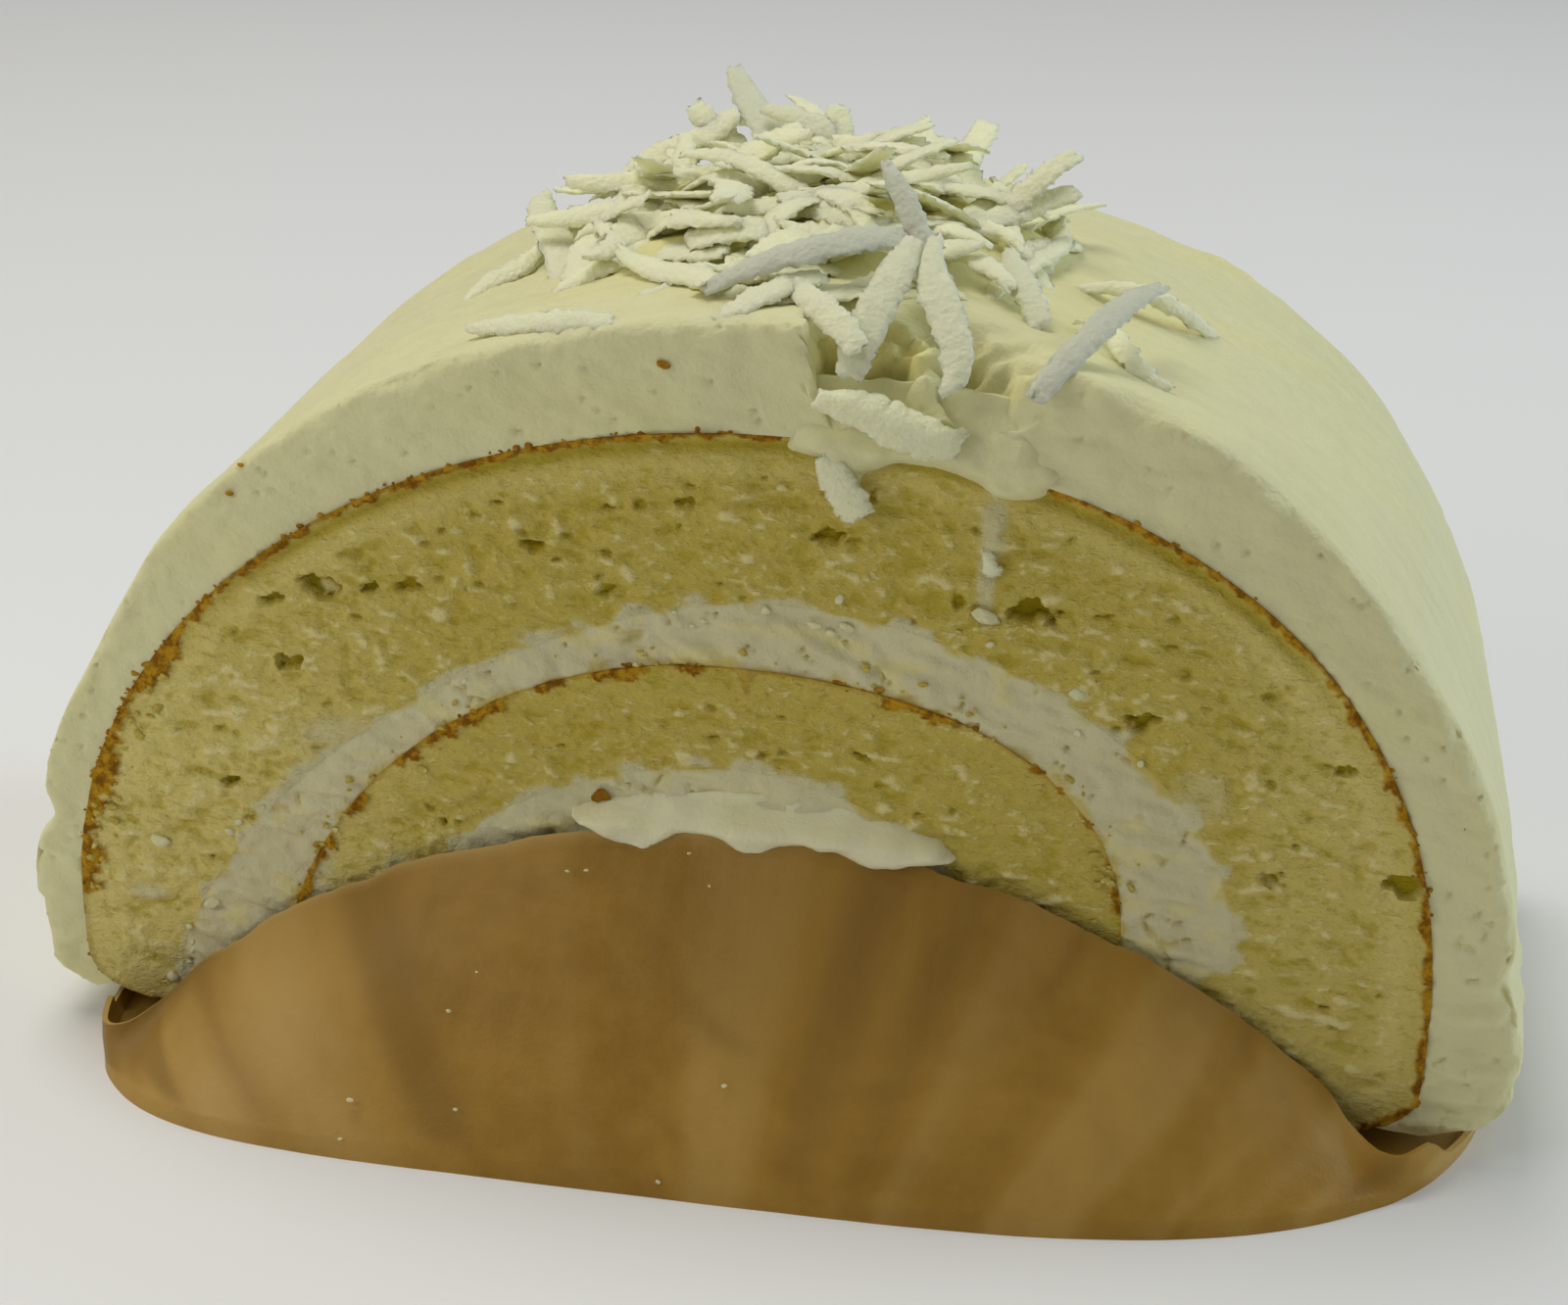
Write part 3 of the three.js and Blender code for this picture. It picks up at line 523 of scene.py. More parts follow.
def cream_finish(name, body, shade, warm, scatter=0.2, streaks=(1, 1, 1), fine=0.10, streak=0.16):
    """Whipped or spread cream: `warm` where it is stained and where shade and warm light are painted,
    and cake coloured where crumb lies and, as painted shade, in cracks.
    """
    f = Finish(name, Specular_IOR_Level=0.35, Subsurface_Weight=scatter,
               Subsurface_Scale=1.2 * MM, Subsurface_Radius=(1.0, 0.85, 0.5))
    base = f.tinge(body, shade, 0.5, f.noise(0.11), 0.3, 0.72)
    # The stain mark also carries painted shade in the dent and painted warm light under the heap.
    base = f.mix(f.mark("stain_and_painted_light"), base, warm)
    # Cracks in the filling take the cake colour as painted shade.
    f.colour(f.mix(f.mark("cake"), base, (0.62, 0.495, 0.115)))
    f.rough(0.7, 0.42, 0.6)
    f.bump((f.noise(0.8, 4.0, 0.6, streaks), streak), (f.noise(2.6, 4.0, 0.6), fine))
    return f.material


def coconut_finish(name, smoothest, roughest, grain):
    f = Finish(name, Specular_IOR_Level=0.4, Subsurface_Weight=0.4,
               Subsurface_Scale=0.6 * MM, Subsurface_Radius=(1.0, 1.0, 1.0))
    base = f.mix(f.span(f.noise(0.4), 0.3, 0.7), (0.98, 0.97, 0.60), (0.93, 0.925, 0.60))
    base = f.tinge(base, (0.99, 0.98, 0.76), 0.35, f.noise(2.2), 0.5, 0.7)
    # Grey where the tone mark is set: painted shade on the named shreds, and a slight random tone on
    # the pile.
    f.colour(f.mix(f.mark("tone_and_shade"), base, (0.64, 0.65, 0.50)))
    f.rough(1.1, smoothest, roughest)
    f.bump((f.noise(1.8, 5.0, 0.7), grain), (f.pits(3.0), 0.05))
    return f.material


def paper_finish():
    f = Finish("greased_baking_paper", Specular_IOR_Level=0.28)
    dark, light = (0.300, 0.158, 0.014), (0.415, 0.232, 0.032)
    blotch = f.span(f.noise(0.07, 4.0, 0.6, twist=0.8), 0.32, 0.70)
    base = f.mix(blotch, dark, light)
    base = f.tinge(base, (0.46, 0.28, 0.055), 0.25, f.noise(0.5, 5.0, 0.65), 0.35, 0.7)
    base = f.mix(f.mark("lit"), base, (0.60, 0.40, 0.13))
    # Painted shade in the pleats and the pressed hollow, and a darker line round the hollow.
    base = f.mix(f.mark("fold_mark"), base, (0.23, 0.122, 0.018))
    # The top edge is paler on its left half.
    f.colour(f.mix(f.mark("pale_top_edge"), base, (0.60, 0.42, 0.15)))
    f.rough(0.12, 0.45, 0.68)
    f.bump((f.noise(0.5, 4.0, 0.6), 0.08), (f.noise(4.0, 3.0, 0.6), 0.03))
    return f.material


def brown_finish():
    f = Finish("browned_crumb", Roughness=0.8, Specular_IOR_Level=0.2)
    f.colour(f.mix(f.span(f.noise(0.9), 0.35, 0.65), (0.28, 0.112, 0.0), (0.52, 0.29, 0.02)))
    f.bump((f.noise(3.0, 4.0), 0.12))
    return f.material


SPONGE = sponge_finish()
COAT_CREAM = cream_finish("whipped_cream_coat", (0.785, 0.757, 0.425), (0.735, 0.708, 0.39),
                          (0.84, 0.77, 0.26), streaks=(3.5, 1.0, 3.5))
FILLING_CREAM = cream_finish("spread_cream", (0.72, 0.67, 0.40), (0.615, 0.57, 0.335),
                             (0.80, 0.72, 0.26), scatter=0.12, fine=0.12)
SQUEEZED_CREAM = cream_finish("squeezed_cream", (0.86, 0.825, 0.54), (0.79, 0.755, 0.48),
                              (0.86, 0.80, 0.40), streaks=(2.5, 1.0, 1.0), streak=0.12)
COCONUT = coconut_finish("coconut_flesh", 0.34, 0.58, 0.14)
WET_COCONUT = coconut_finish("wet_coconut", 0.12, 0.35, 0.24)
PAPER = paper_finish()
BROWN = brown_finish()


# ---- the cake sheet ----
def cream_reach(x, z):
    """How far the cream is torn over the edge of the crumb, or the crumb over the cream."""
    return 0.25 + 0.85 * noise(x / 1.7, z / 1.0, 96) + 0.30 * noise(x / 0.6, z / 0.45, 99)


def crumb_relief(x, z, skin_gap, seed, holes):
    """Height of the torn crumb in millimetres, with its pockets and its raised flakes."""
    bend_x = x + 0.6 * noise(x / 1.9, z / 1.5, seed + 3)
    bend_z = z + 0.3 * noise(x / 1.3, z / 1.0, seed + 4) + 0.5 * noise(x / 6, z / 4, seed + 5)
    torn = 0.48 * noise(bend_x / 1.2, bend_z / 0.62, seed + 1)
    torn += 0.32 * noise(bend_x / 0.62, bend_z / 0.38, seed + 2)
    torn += 0.20 * noise(x / 0.38, z / 0.28, seed + 6)
    open_crumb = 0.2 + 0.8 * smooth((skin_gap - 1.4) / 1.6)
    # Toward both sides the crumb is torn into longer layers.
    layered = np.maximum(smooth((-x - 24) / 8), 0.7 * smooth((x - 30) / 6))
    layer = noise(bend_x / 3.2, bend_z / 0.8, seed + 8)
    torn = open_crumb * (torn + 0.40 * layered * layer)
    pocket = 0.55 * smooth((-torn - 0.22) / 0.28)
    flake = 0.75 * smooth((torn - 0.30) / 0.24)
    h = 0.14 * noise(x / 6.5, z / 4.6, seed) + 0.30 * torn
    gap, draw = cells(bend_x / 1.5, bend_z / 0.8, seed + 20)
    pit = smooth((0.22 + 0.16 * chance(draw * 999, 3) - gap) / 0.16) * (draw < 0.09) * open_crumb
    for hx, hz, half_w, half_h, depth in holes:
        r = np.hypot((bend_x - hx) / half_w, (bend_z - hz) / half_h)
        r += (0.42 * noise(x / 0.55, z / 0.42, seed + 9)
              + 0.22 * noise(x / 0.26, z / 0.22, seed + 10))
        hole = smooth((1.05 - r) / 0.40)
        h -= depth * 0.7 * hole
        pocket = np.maximum(pocket, hole)
    h -= 0.28 * pit
    return h, np.maximum(pocket, 0.75 * pit), flake


def browned_skin(u, v, path, gap, outer, end):
    """Share of browned skin over a cut face: thin and crumbly, and torn into thicker patches low on
    the left. `path` has each point's nearest place on the skin, and `gap` its distance."""
    ragged = noise(path[:, 0] / 0.45, path[:, 1] / 0.45, 83 + end)
    patchy = noise(path[:, 0] / 1.7, path[:, 1] / 1.7, 91 + end)
    thick = 0.50 + 0.22 * noise(path[:, 0] / 1.3, path[:, 1] / 1.3, 81 + end) + 0.30 * ragged
    left = path[:, 0] < SKIN_LEFT
    for level, half, extra in SKIN_PATCHES:
        near = hump(path[:, 1], level, half) * left
        thick += extra * near * (end == FRONT) * (0.8 + 0.5 * ragged)
    inner_thick = 0.25 + 0.75 * smooth((patchy + 0.25) / 0.5) * (0.6 + 0.5 * ragged)
    thick = np.where(outer, thick, inner_thick)
    low_left = left & (path[:, 1] < 8.6)
    notch = 1.5 * hump(u, -0.1, 0.35) * (v > 24) * ~outer
    thick = np.where(low_left, 0.3, thick) + notch
    crust = smooth((thick - gap) / 0.14) * np.where(low_left, 0.4, 1.0)
    return crust * np.where(outer, 1.0, 0.45 + 0.55 * smooth((patchy + 0.3) / 0.4))


def rubbed_cream(u, v, face_gap, end):
    """Share of cream over the crumb: along the filling, and where it is rubbed on at the front."""
    rub = smooth(0.5 + (cream_reach(u, v) - face_gap) / 0.5)
    for x, z, half_w, half_h, amount in RUBBED:
        patch = amount * spot(u, v, x, z, half_w, half_h) * (end == FRONT)
        rub = np.maximum(rub, patch * smooth(1.1 + 1.1 * noise(u / 1.3, v / 0.6, 97)))
    return rub


def make_sponge():
    skin = np.vstack([curve(SKIN, SHEET_START["skin"], -90), curve(INNER_SKIN, 270, SHEET_END)])
    face = np.vstack([curve(FACE, SHEET_START["face"], -90), curve(CORE, 270, SHEET_END)])
    skin, face = spaced(skin, 0.25), spaced(face, 0.25)
    tail = spaced(np.array([skin[-1], face[-1]]), 0.3)[1:-1]
    head = spaced(np.array([face[0], skin[0]]), 0.3)[1:-1]
    points, faces, where = slab(np.vstack([skin, tail, face[::-1], head]),
                                step=0.2, back_step=0.34, rows=2, seed=3)
    marks = {key: np.zeros(len(points)) for key in ("pore_and_shade", "flake", "skin", "pale", "cream")}
    for end, holes in ((FRONT, HOLES), (BACK, [])):
        on = where == end
        u, v = points[on, 0], points[on, 2]
        skin_gap, at = nearest(points[on][:, [0, 2]], skin)
        face_gap, _ = nearest(points[on][:, [0, 2]], face)
        outer = at < len(skin) * OUTER_SKIN
        h, pore_and_shade, flake = crumb_relief(u, v, skin_gap, 60 + 7 * end, holes)
        crust = browned_skin(u, v, skin[at], skin_gap, outer, end)
        h += crust * (0.16 + 0.12 * noise(u / 0.5, v / 0.5, 93))
        # The crumb falls back just under the top skin, and a soft shade line is painted there into
        # the pore mark.
        shade = outer * hump(skin_gap, 0.75, 0.35) * smooth((v - 28) / 5)
        h -= 0.30 * shade
        if end == FRONT:
            under_smear = smooth((v - 37) / 2) * smooth((u + 1) / 2) * smooth((18.5 - u) / 2)
            h -= 0.35 * under_smear
        rub = rubbed_cream(u, v, face_gap, end)
        h += 0.10 * rub
        # The relief dies away where the sheet meets the filling.
        h *= 0.1 + 0.9 * smooth(face_gap / 0.6)
        points[on, 1] += end * h
        # The pore mark also carries the painted shade line under the top skin.
        marks["pore_and_shade"][on] = np.maximum(pore_and_shade, 0.7 * shade) * (1 - crust) * (1 - 0.7 * rub)
        marks["flake"][on] = flake * (1 - crust)
        marks["skin"][on] = crust
        marks["cream"][on] = rub * (1 - crust)
        left_pale = smooth((-u - 14) / 16) * (0.28 + 0.55 * smooth((30 - v) / 14))
        right_pale = 0.40 * smooth((u - 24) / 8)
        band = outer * hump(skin_gap, 2.0, 0.8) * 0.4
        marks["pale"][on] = np.clip(np.maximum(left_pale, right_pale) + band, 0, 1)
    return piece("sponge_sheet", points, faces, SPONGE, marks)


# ---- the cream inside ----
def make_filling():
    face = np.vstack([curve(FACE, 199, -90), curve(CORE, 270, SHEET_END)])
    skin = curve(INNER_SKIN, 214, SHEET_END)
    outer = spaced(beside(face, 0.01), 0.3)
    inner = spaced(beside(skin, -0.01), 0.3)
    low = min(outer[-1][1], inner[-1][1]) - 1.0
    outline = np.vstack([
        outer, [[outer[-1][0] + 0.3, low]], [[inner[-1][0] - 0.3, low]],
        inner[::-1], [[inner[0][0] - 0.6, FLOOR]], [[outer[0][0] + 0.2, FLOOR]]])
    points, faces, where = slab(outline, step=0.26, back_step=0.42, rows=2, seed=11)
    stain_and_painted_light, cake = np.zeros(len(points)), np.zeros(len(points))
    for end in (FRONT, BACK):
        on = where == end
        u, v = points[on, 0], points[on, 2]
        to_face, _ = nearest(points[on][:, [0, 2]], outer)
        to_skin, _ = nearest(points[on][:, [0, 2]], inner)
        # Torn ridges that lie along the spread, with a few cracks between them.
        slant = v + 0.25 * u + 0.5 * noise(u / 2, v / 2, 118)
        ridge = noise(u / 2.6, slant / 0.75, 120 + end)
        h = 0.12 * noise(u / 4.2, v / 2.6, 121) + 0.24 * ridge
        h += 0.15 * noise(u / 0.8, slant / 0.4, 124)
        crack = smooth((0.10 - np.abs(noise(u / 2.2, slant / 1.1, 126 + end))) / 0.07)
        crack *= smooth((noise(u / 1.8, v / 1.4, 128 + end) - 0.25) / 0.2)
        h -= 0.30 * crack
        h *= 0.1 + 0.9 * smooth(np.minimum(to_face, to_skin + 0.2) / 0.6)
        points[on, 1] += end * h
        near_face = 1 - smooth(0.5 + (cream_reach(u, v) + to_face) / 0.5)
        near_skin = smooth((0.35 + 0.5 * noise(u / 1.0, v / 0.8, 141) - to_skin) / 0.3)
        stain_and_painted_light[on] = 0.45 * smooth((noise(u / 1.6, v / 0.8, 142 + end) - 0.35) / 0.25)
        # Near the crumb the cake colour is the crumb's own; in the cracks it is painted shade.
        cake[on] = np.clip(near_face + 0.8 * near_skin + 0.6 * crack, 0, 1)
    return piece("cream_spread", points, faces, FILLING_CREAM, {"stain_and_painted_light": stain_and_painted_light, "cake": cake})


# ---- the whipped cream coat ----
def coat_push(x, y, z, along, on_wall):
    """How far the outside of the coat is pushed out: swellings, spatula marks and torn ridges."""
    across, up = x - COAT["apex"][0], z - WAIST
    push = 0.35 * noise(y / 9, np.arctan2(up, across) * 5, 41)
    for sign, level, half, out in SWELLINGS:
        push += out * hump(z, level, half) * (np.sign(across) == sign)
    # Spatula marks run round the roll: long in the round direction, fine along the depth.
    off_cut = on_wall * smooth((CUT - np.abs(y)) / 1.2)
    push += off_cut * layers(along, y, (0.07, 9, 0.5, 43), (0.05, 2.2, 0.8, 45), (0.06, 16, 1.7, 44))
    # Low on both sides the cream is torn into level ridges.
    ridges = layers(y, z, (0.22, 5, 0.9, 46), (0.10, 1.4, 0.5, 47))
    return push + off_cut * smooth((14 - z) / 3) * ridges


def coat_relief(u, v, end):
    """Relief of the coat's cut face: lumps, small pits, and low down torn ridges and cracks."""
    h = layers(u, v, (0.20, 5, 3.4, 31 + end), (0.13, 1.6, 1.0, 33 + end), (0.07, 0.7, 0.5, 35 + end))
    pit, draw = cells(u / 1.3, v / 0.9, 37 + end)
    h -= 0.24 * smooth((0.18 - pit) / 0.1) * (draw < 0.20)
    ridges = layers(u, v, (0.30, 3.0, 0.9, 39 + end), (0.12, 1.2, 0.5, 40))
    h += smooth((14 - v) / 3) * ridges
    crack = smooth((0.08 - np.abs(noise(u / 1.6, v / 0.8, 48))) / 0.06)
    h -= 0.25 * crack * (np.abs(u) > 36) * (v < 19) * (noise(u / 2, v / 1.5, 49) > 0.1)
    return h


def dent(x, y, z):
    """How far the dented front edge drops and is pushed back, with lumps of torn cream in it, and
    the share of its hollow. Its left wall is steep and its right one slow."""
    depth_in = np.maximum(y + CUT, 0)
    below = np.maximum(coat_top(x) - z, 0)
    lump = 0.85 + 0.50 * noise(x / 1.9, (depth_in - below) / 1.6, 51)
    lump += 0.30 * noise(x / 0.8, (depth_in - below) / 0.8, 52)
    ragged = x + 0.8 * noise(depth_in / 1.5, below / 1.3, 59)
    ragged += 0.3 * noise(depth_in / 0.6, below / 0.6, 60)
    share = smooth((ragged - DENT["left"] + 0.5) / 1.0) * smooth((DENT["right"] - ragged) / 4.5)
    behind = 1 - smooth(depth_in / DENT["back"])
    lower_lip = smooth((5.6 - below + 1.3 * noise(x / 1.2, depth_in / 2, 61)) / 4.5)
    drop = share * DENT["drop"] * lump * behind * lower_lip
    push = share * DENT["push"] * lump * (1 - smooth(below / 3.6)) * behind
    hollow = share * (1 - smooth(depth_in / 5)) * (1 - smooth(below / 3.0))
    return drop, push, hollow * smooth(0.4 + noise(x / 1.7, z / 1.5, 53))


def round_arris(x, y, along, to_outer, where, on_wall):
    """How far the round arris between a cut face and the outside, uneven along its length, draws
    each point inward and off the cut face."""
    bend = 1.15 + 0.45 * noise(along / 3, 0 * y, 57) + 0.25 * noise(along / 0.9, 0 * y, 58)
    bend *= 1 - 0.55 * smooth((-x - 22) / 10)
    to_arris = np.where(on_wall, CUT - np.abs(y), to_outer)
    turn = (1 - np.clip(to_arris / bend, 0, 1)) * math.pi / 4
    sunk = bend * (1 - np.cos(turn))
    drawn = np.where(turn > 0, bend * (1 - np.sin(turn)) - to_arris, 0)
    inward = np.where(on_wall, sunk, np.where(where != 0, drawn, 0)) * (to_outer < 2.2)
    return inward, np.sign(y) * np.where(on_wall, drawn, np.where(where != 0, sunk, 0))


def make_coat():
    outer = spaced(curve(COAT, 214, -46), COAT_STEP)
    lining = spaced(curve(SKIN, 209, -34), 0.8)
    outline = np.vstack([outer, spaced(np.array([outer[-1], lining[-1]]), 0.6)[1:-1],
                         lining[::-1], spaced(np.array([lining[0], outer[0]]), 0.6)[1:-1]])
    points, faces, where = slab(outline, step=0.3, back_step=0.5, rows=88, seed=21)
    x, y, z = points.T
    to_outer, at = nearest(points[:, [0, 2]], outer)
    to_lining, _ = nearest(points[:, [0, 2]], lining)
    along = at * COAT_STEP
    rim = to_outer < 0.05
    outside = smooth((3.0 - to_outer) / 3.0)
    across, up = x - COAT["apex"][0], z - WAIST
    size = np.maximum(np.hypot(across, up), 1)
    push = coat_push(x, y, z, along, rim)
    moved = points.copy()
    moved[:, 0] += outside * push * across / size
    moved[:, 2] += outside * push * np.maximum(up, 0) / size
    inward, off_face = round_arris(x, y, along, to_outer, where, rim & (where == 0))
    moved[:, 0] -= inward * across / size
    moved[:, 2] -= inward * np.maximum(up, 0) / size
    moved[:, 1] -= off_face
    for end in (FRONT, BACK):
        on = where == end
        relief = coat_relief(x[on], z[on], end)
        moved[on, 1] += end * relief * (0.2 + 0.8 * smooth(to_lining[on] / 0.8))
    # The cream is mounded under the heap of coconut.
    mound = HEAP["core"] * heap_height(x, y)
    mound *= 0.85 + 0.35 * noise(x / 2.2, y / 1.8, 55)
    moved[:, 2] += outside * mound * (up > 20)
    drop, pushed_back, hollow = dent(x, y, z)
    moved[:, 2] -= drop
    moved[:, 1] += pushed_back
    # The cream is painted yellower in the dent's hollow as painted shade, and on the top under the
    # heap as painted warm light. It is also stained faintly here and there.
    warm_light_under_heap = smooth(heap_height(x, y) / 2.5) * (coat_top(x) - z < 1)
    # Painted shade in the dent's hollow and painted warm light on the top under the heap; the faint
    # blotches added next are stains.
    stain_and_painted_light = np.maximum(0.8 * hollow, 0.75 * warm_light_under_heap)
    stain_and_painted_light += 0.2 * smooth(noise(x / 6, z / 5 + y / 7, 54) - 0.1)
    return piece("cream_coat", moved, faces, COAT_CREAM, {"stain_and_painted_light": np.clip(stain_and_painted_light, 0, 1)})


def pad(name, outline, step, height, material, seed, edge, soft=False, marks=None):
    """A thin closed pad on the front cut face. `height` is how far it stands off the face, and
    `edge` how wide its rounded edge is. A soft pad sinks into the face all round."""
    outline = anticlockwise(closed(outline, step))
    flat, front_faces = cut_face(outline, step, seed)
    x, z = flat.T
    gap, _ = nearest(flat, outline)
    share = np.clip(gap / edge, 0, 1)
    dome = smooth(share) if soft else np.sqrt(np.clip(1 - (1 - share) ** 2, 0, 1))
    low = SOFT_SINK if soft else 0.1
    front = np.column_stack([x, low - CUT - dome * (height(x, z) + low), z])
    back = np.column_stack([x, np.full(len(x), PAD_BACK - CUT), z])
    count = len(flat)
    faces = np.vstack([front_faces, front_faces[:, ::-1] + count, wall(0, count, len(outline))])
    stain_and_painted_light = np.zeros(2 * count) if marks is None else np.tile(marks(x, z), 2)
    return piece(name, np.vstack([front, back]), faces, material, {"stain_and_painted_light": stain_and_painted_light})


def make_smear():
    """The cream smeared down over the crumb below the dent."""
    def height(x, z):
        h = 0.62 + 0.26 * noise(x / 2.2, z / 1.4, 76) + 0.16 * noise(x / 0.8, z / 0.6, 77)
        # Over the coat the smear sinks into it at its top and both its sides.
        off_side = smooth((x - 0.9) / 2.8) * smooth((17.4 - x) / 3.0)
        on_coat = off_side + (1 - off_side) * smooth((42 - z) / 1.5)
        shown = smooth((44.6 - z) / 3.2) * np.where(z > 40.5, on_coat, 1)
        return h * shown - SOFT_SINK * (1 - shown)
    return pad("cream_smear", waved(np.array(SMEAR_EDGE), 0.3, 0.20, 75), 0.24, height,
               COAT_CREAM, seed=71, edge=1.4, soft=True)


def make_ooze():
    """The cream squeezed over the flap's top edge."""
    def height(x, z):
        return 1.55 + 0.30 * noise(x / 1.4, z / 0.9, 93) - 1.5 * smooth((z - 17.7) / 1.7)
    return pad("cream_ooze", waved(np.array(OOZE_EDGE), 0.25, 0.12, 92), 0.2, height,
               SQUEEZED_CREAM, seed=94, edge=0.9,
               marks=lambda x, z: 0.25 * smooth(noise(x / 2, z, 95)))


# ---- the paper baking case ----
def fold_line(step):
    """Where the paper folds up round the floor, as points evenly spaced, [x, y]."""
    t = np.linspace(0, 1, 1500)
    quarters = []
    for sign_x, sign_y, way in ((1, 1, 1), (-1, 1, -1), (-1, -1, 1), (1, -1, -1)):
        reach, square = CASE["right"] if sign_x > 0 else CASE["left"]
        other = (1 - t ** square) ** (1 / square)
        wide = np.concatenate([other, t])
        high = np.concatenate([t, other])
        order = np.argsort(np.arctan2(high, wide))[::way]
        quarter = np.column_stack([sign_x * reach * wide, sign_y * CASE["fold"] * high])
        quarters.append(quarter[order])
    return spaced(np.vstack(quarters), step)[:-1]


def case_edge(x, y):
    """Where the paper's top edge is, above each point of the fold."""
    sides = zip(CASE["left"], CASE["right"])
    reach, square = (np.where(x < 0, left, right) for left, right in sides)
    outward = np.sign(x) * np.abs(x / reach) ** (square / 2)
    face_x = x * 0.95
    drop = CASE["flap_radius"] - CASE["flap_height"]
    flap = np.sqrt(np.maximum(CASE["flap_radius"] ** 2 - face_x ** 2, 0)) - drop
    leaning = smooth((flap - 1.8) / 2.6)
    at_corner = smooth((np.abs(y) - 18.4) / 1.5)
    past_cut = smooth((np.abs(y) - 19) / 2)
    low = CASE["rim"] + (CASE["corner"] - CASE["rim"]) * at_corner
    out = 0.35 * (1 - at_corner)
    face_y = np.sign(y) * (CUT + CASE["flap_gap"])
    edge_x = (x + out * outward) * (1 - leaning) + face_x * leaning
    edge_y = y + (face_y - y) * leaning * past_cut
    edge_z = np.maximum(low, low + (flap - low) * past_cut)
    ripple = layers(face_x, y, (0.20, 2.1, 40, 151), (0.08, 0.6, 40, 150))
    return edge_x, edge_y, edge_z + leaning * ripple


def paper_thickness(inner, fold):
    """The outside of the paper, for its inside as [turn, ring, xyz]."""
    along = np.roll(inner, -1, axis=0) - np.roll(inner, 1, axis=0)
    up = np.empty_like(inner)
    up[:, 1:-1] = inner[:, 2:] - inner[:, :-2]
    up[:, 0] = inner[:, 1] - inner[:, 0]
    up[:, -1] = inner[:, -1] - inner[:, -2]
    up[:, fold] = inner[:, fold + 1] - inner[:, fold]
    normal = np.cross(along, up)
    normal /= np.maximum(np.linalg.norm(normal, axis=2), 1e-9)[..., None]
    normal[:, :fold] = (0, 0, -1)
    outer = inner + normal * FLAP_WALL
    outer[:, fold] = inner[:, fold] + normal[:, fold] * (FOLD_WALL, FOLD_WALL, 0)
    outer[:, fold, 2] -= PAPER_WALL
    outer[:, :fold, 2] = 0.0
    outer[:, fold + 1:, 2] = np.maximum(outer[:, fold + 1:, 2], 0.03)
    return outer


def paper_marks(points, v, pleat):
    """Painted shade in the pleats and the pressed hollow with a darker line round it, painted light
    on the left, and a paler top edge on the left. `v` runs from 0 at the fold to 1 at the top edge."""
    x, y, z = points.T
    front = y < -18
    centre, radius = PRESSED["centre"], PRESSED["radius"]
    hollow = spot(x, z, *centre, *radius) * front
    ring = np.hypot((x - centre[0]) / radius[0], (z - centre[1]) / radius[1])
    line = hump(ring, 0.93, 0.05) * smooth(0.4 + noise(x / 5, z / 3, 155)) * front
    # Painted shade: darker in the low sides of the pleats, in the pressed hollow, and along a line
    # round it.
    dark = 0.62 * smooth(-pleat / 0.6) * smooth(v / 0.1) + 0.34 * hollow + 0.36 * line
    lit = (0.34 * smooth((-x - 12) / 20) + 0.28 * smooth(pleat / 0.6)) * front
    lit = np.maximum(lit, 0.8 * spot(x, z, 42.5, 1.0, 2.4, 1.6) * (y < -10))
    # The top edge is paler on its left half.
    pale_top_edge = 0.6 * smooth((v - 0.97) / 0.02) * smooth(0.6 - x / 14)
    return {"fold_mark": np.clip(dark, 0, 0.85), "pale_top_edge": pale_top_edge, "lit": lit}


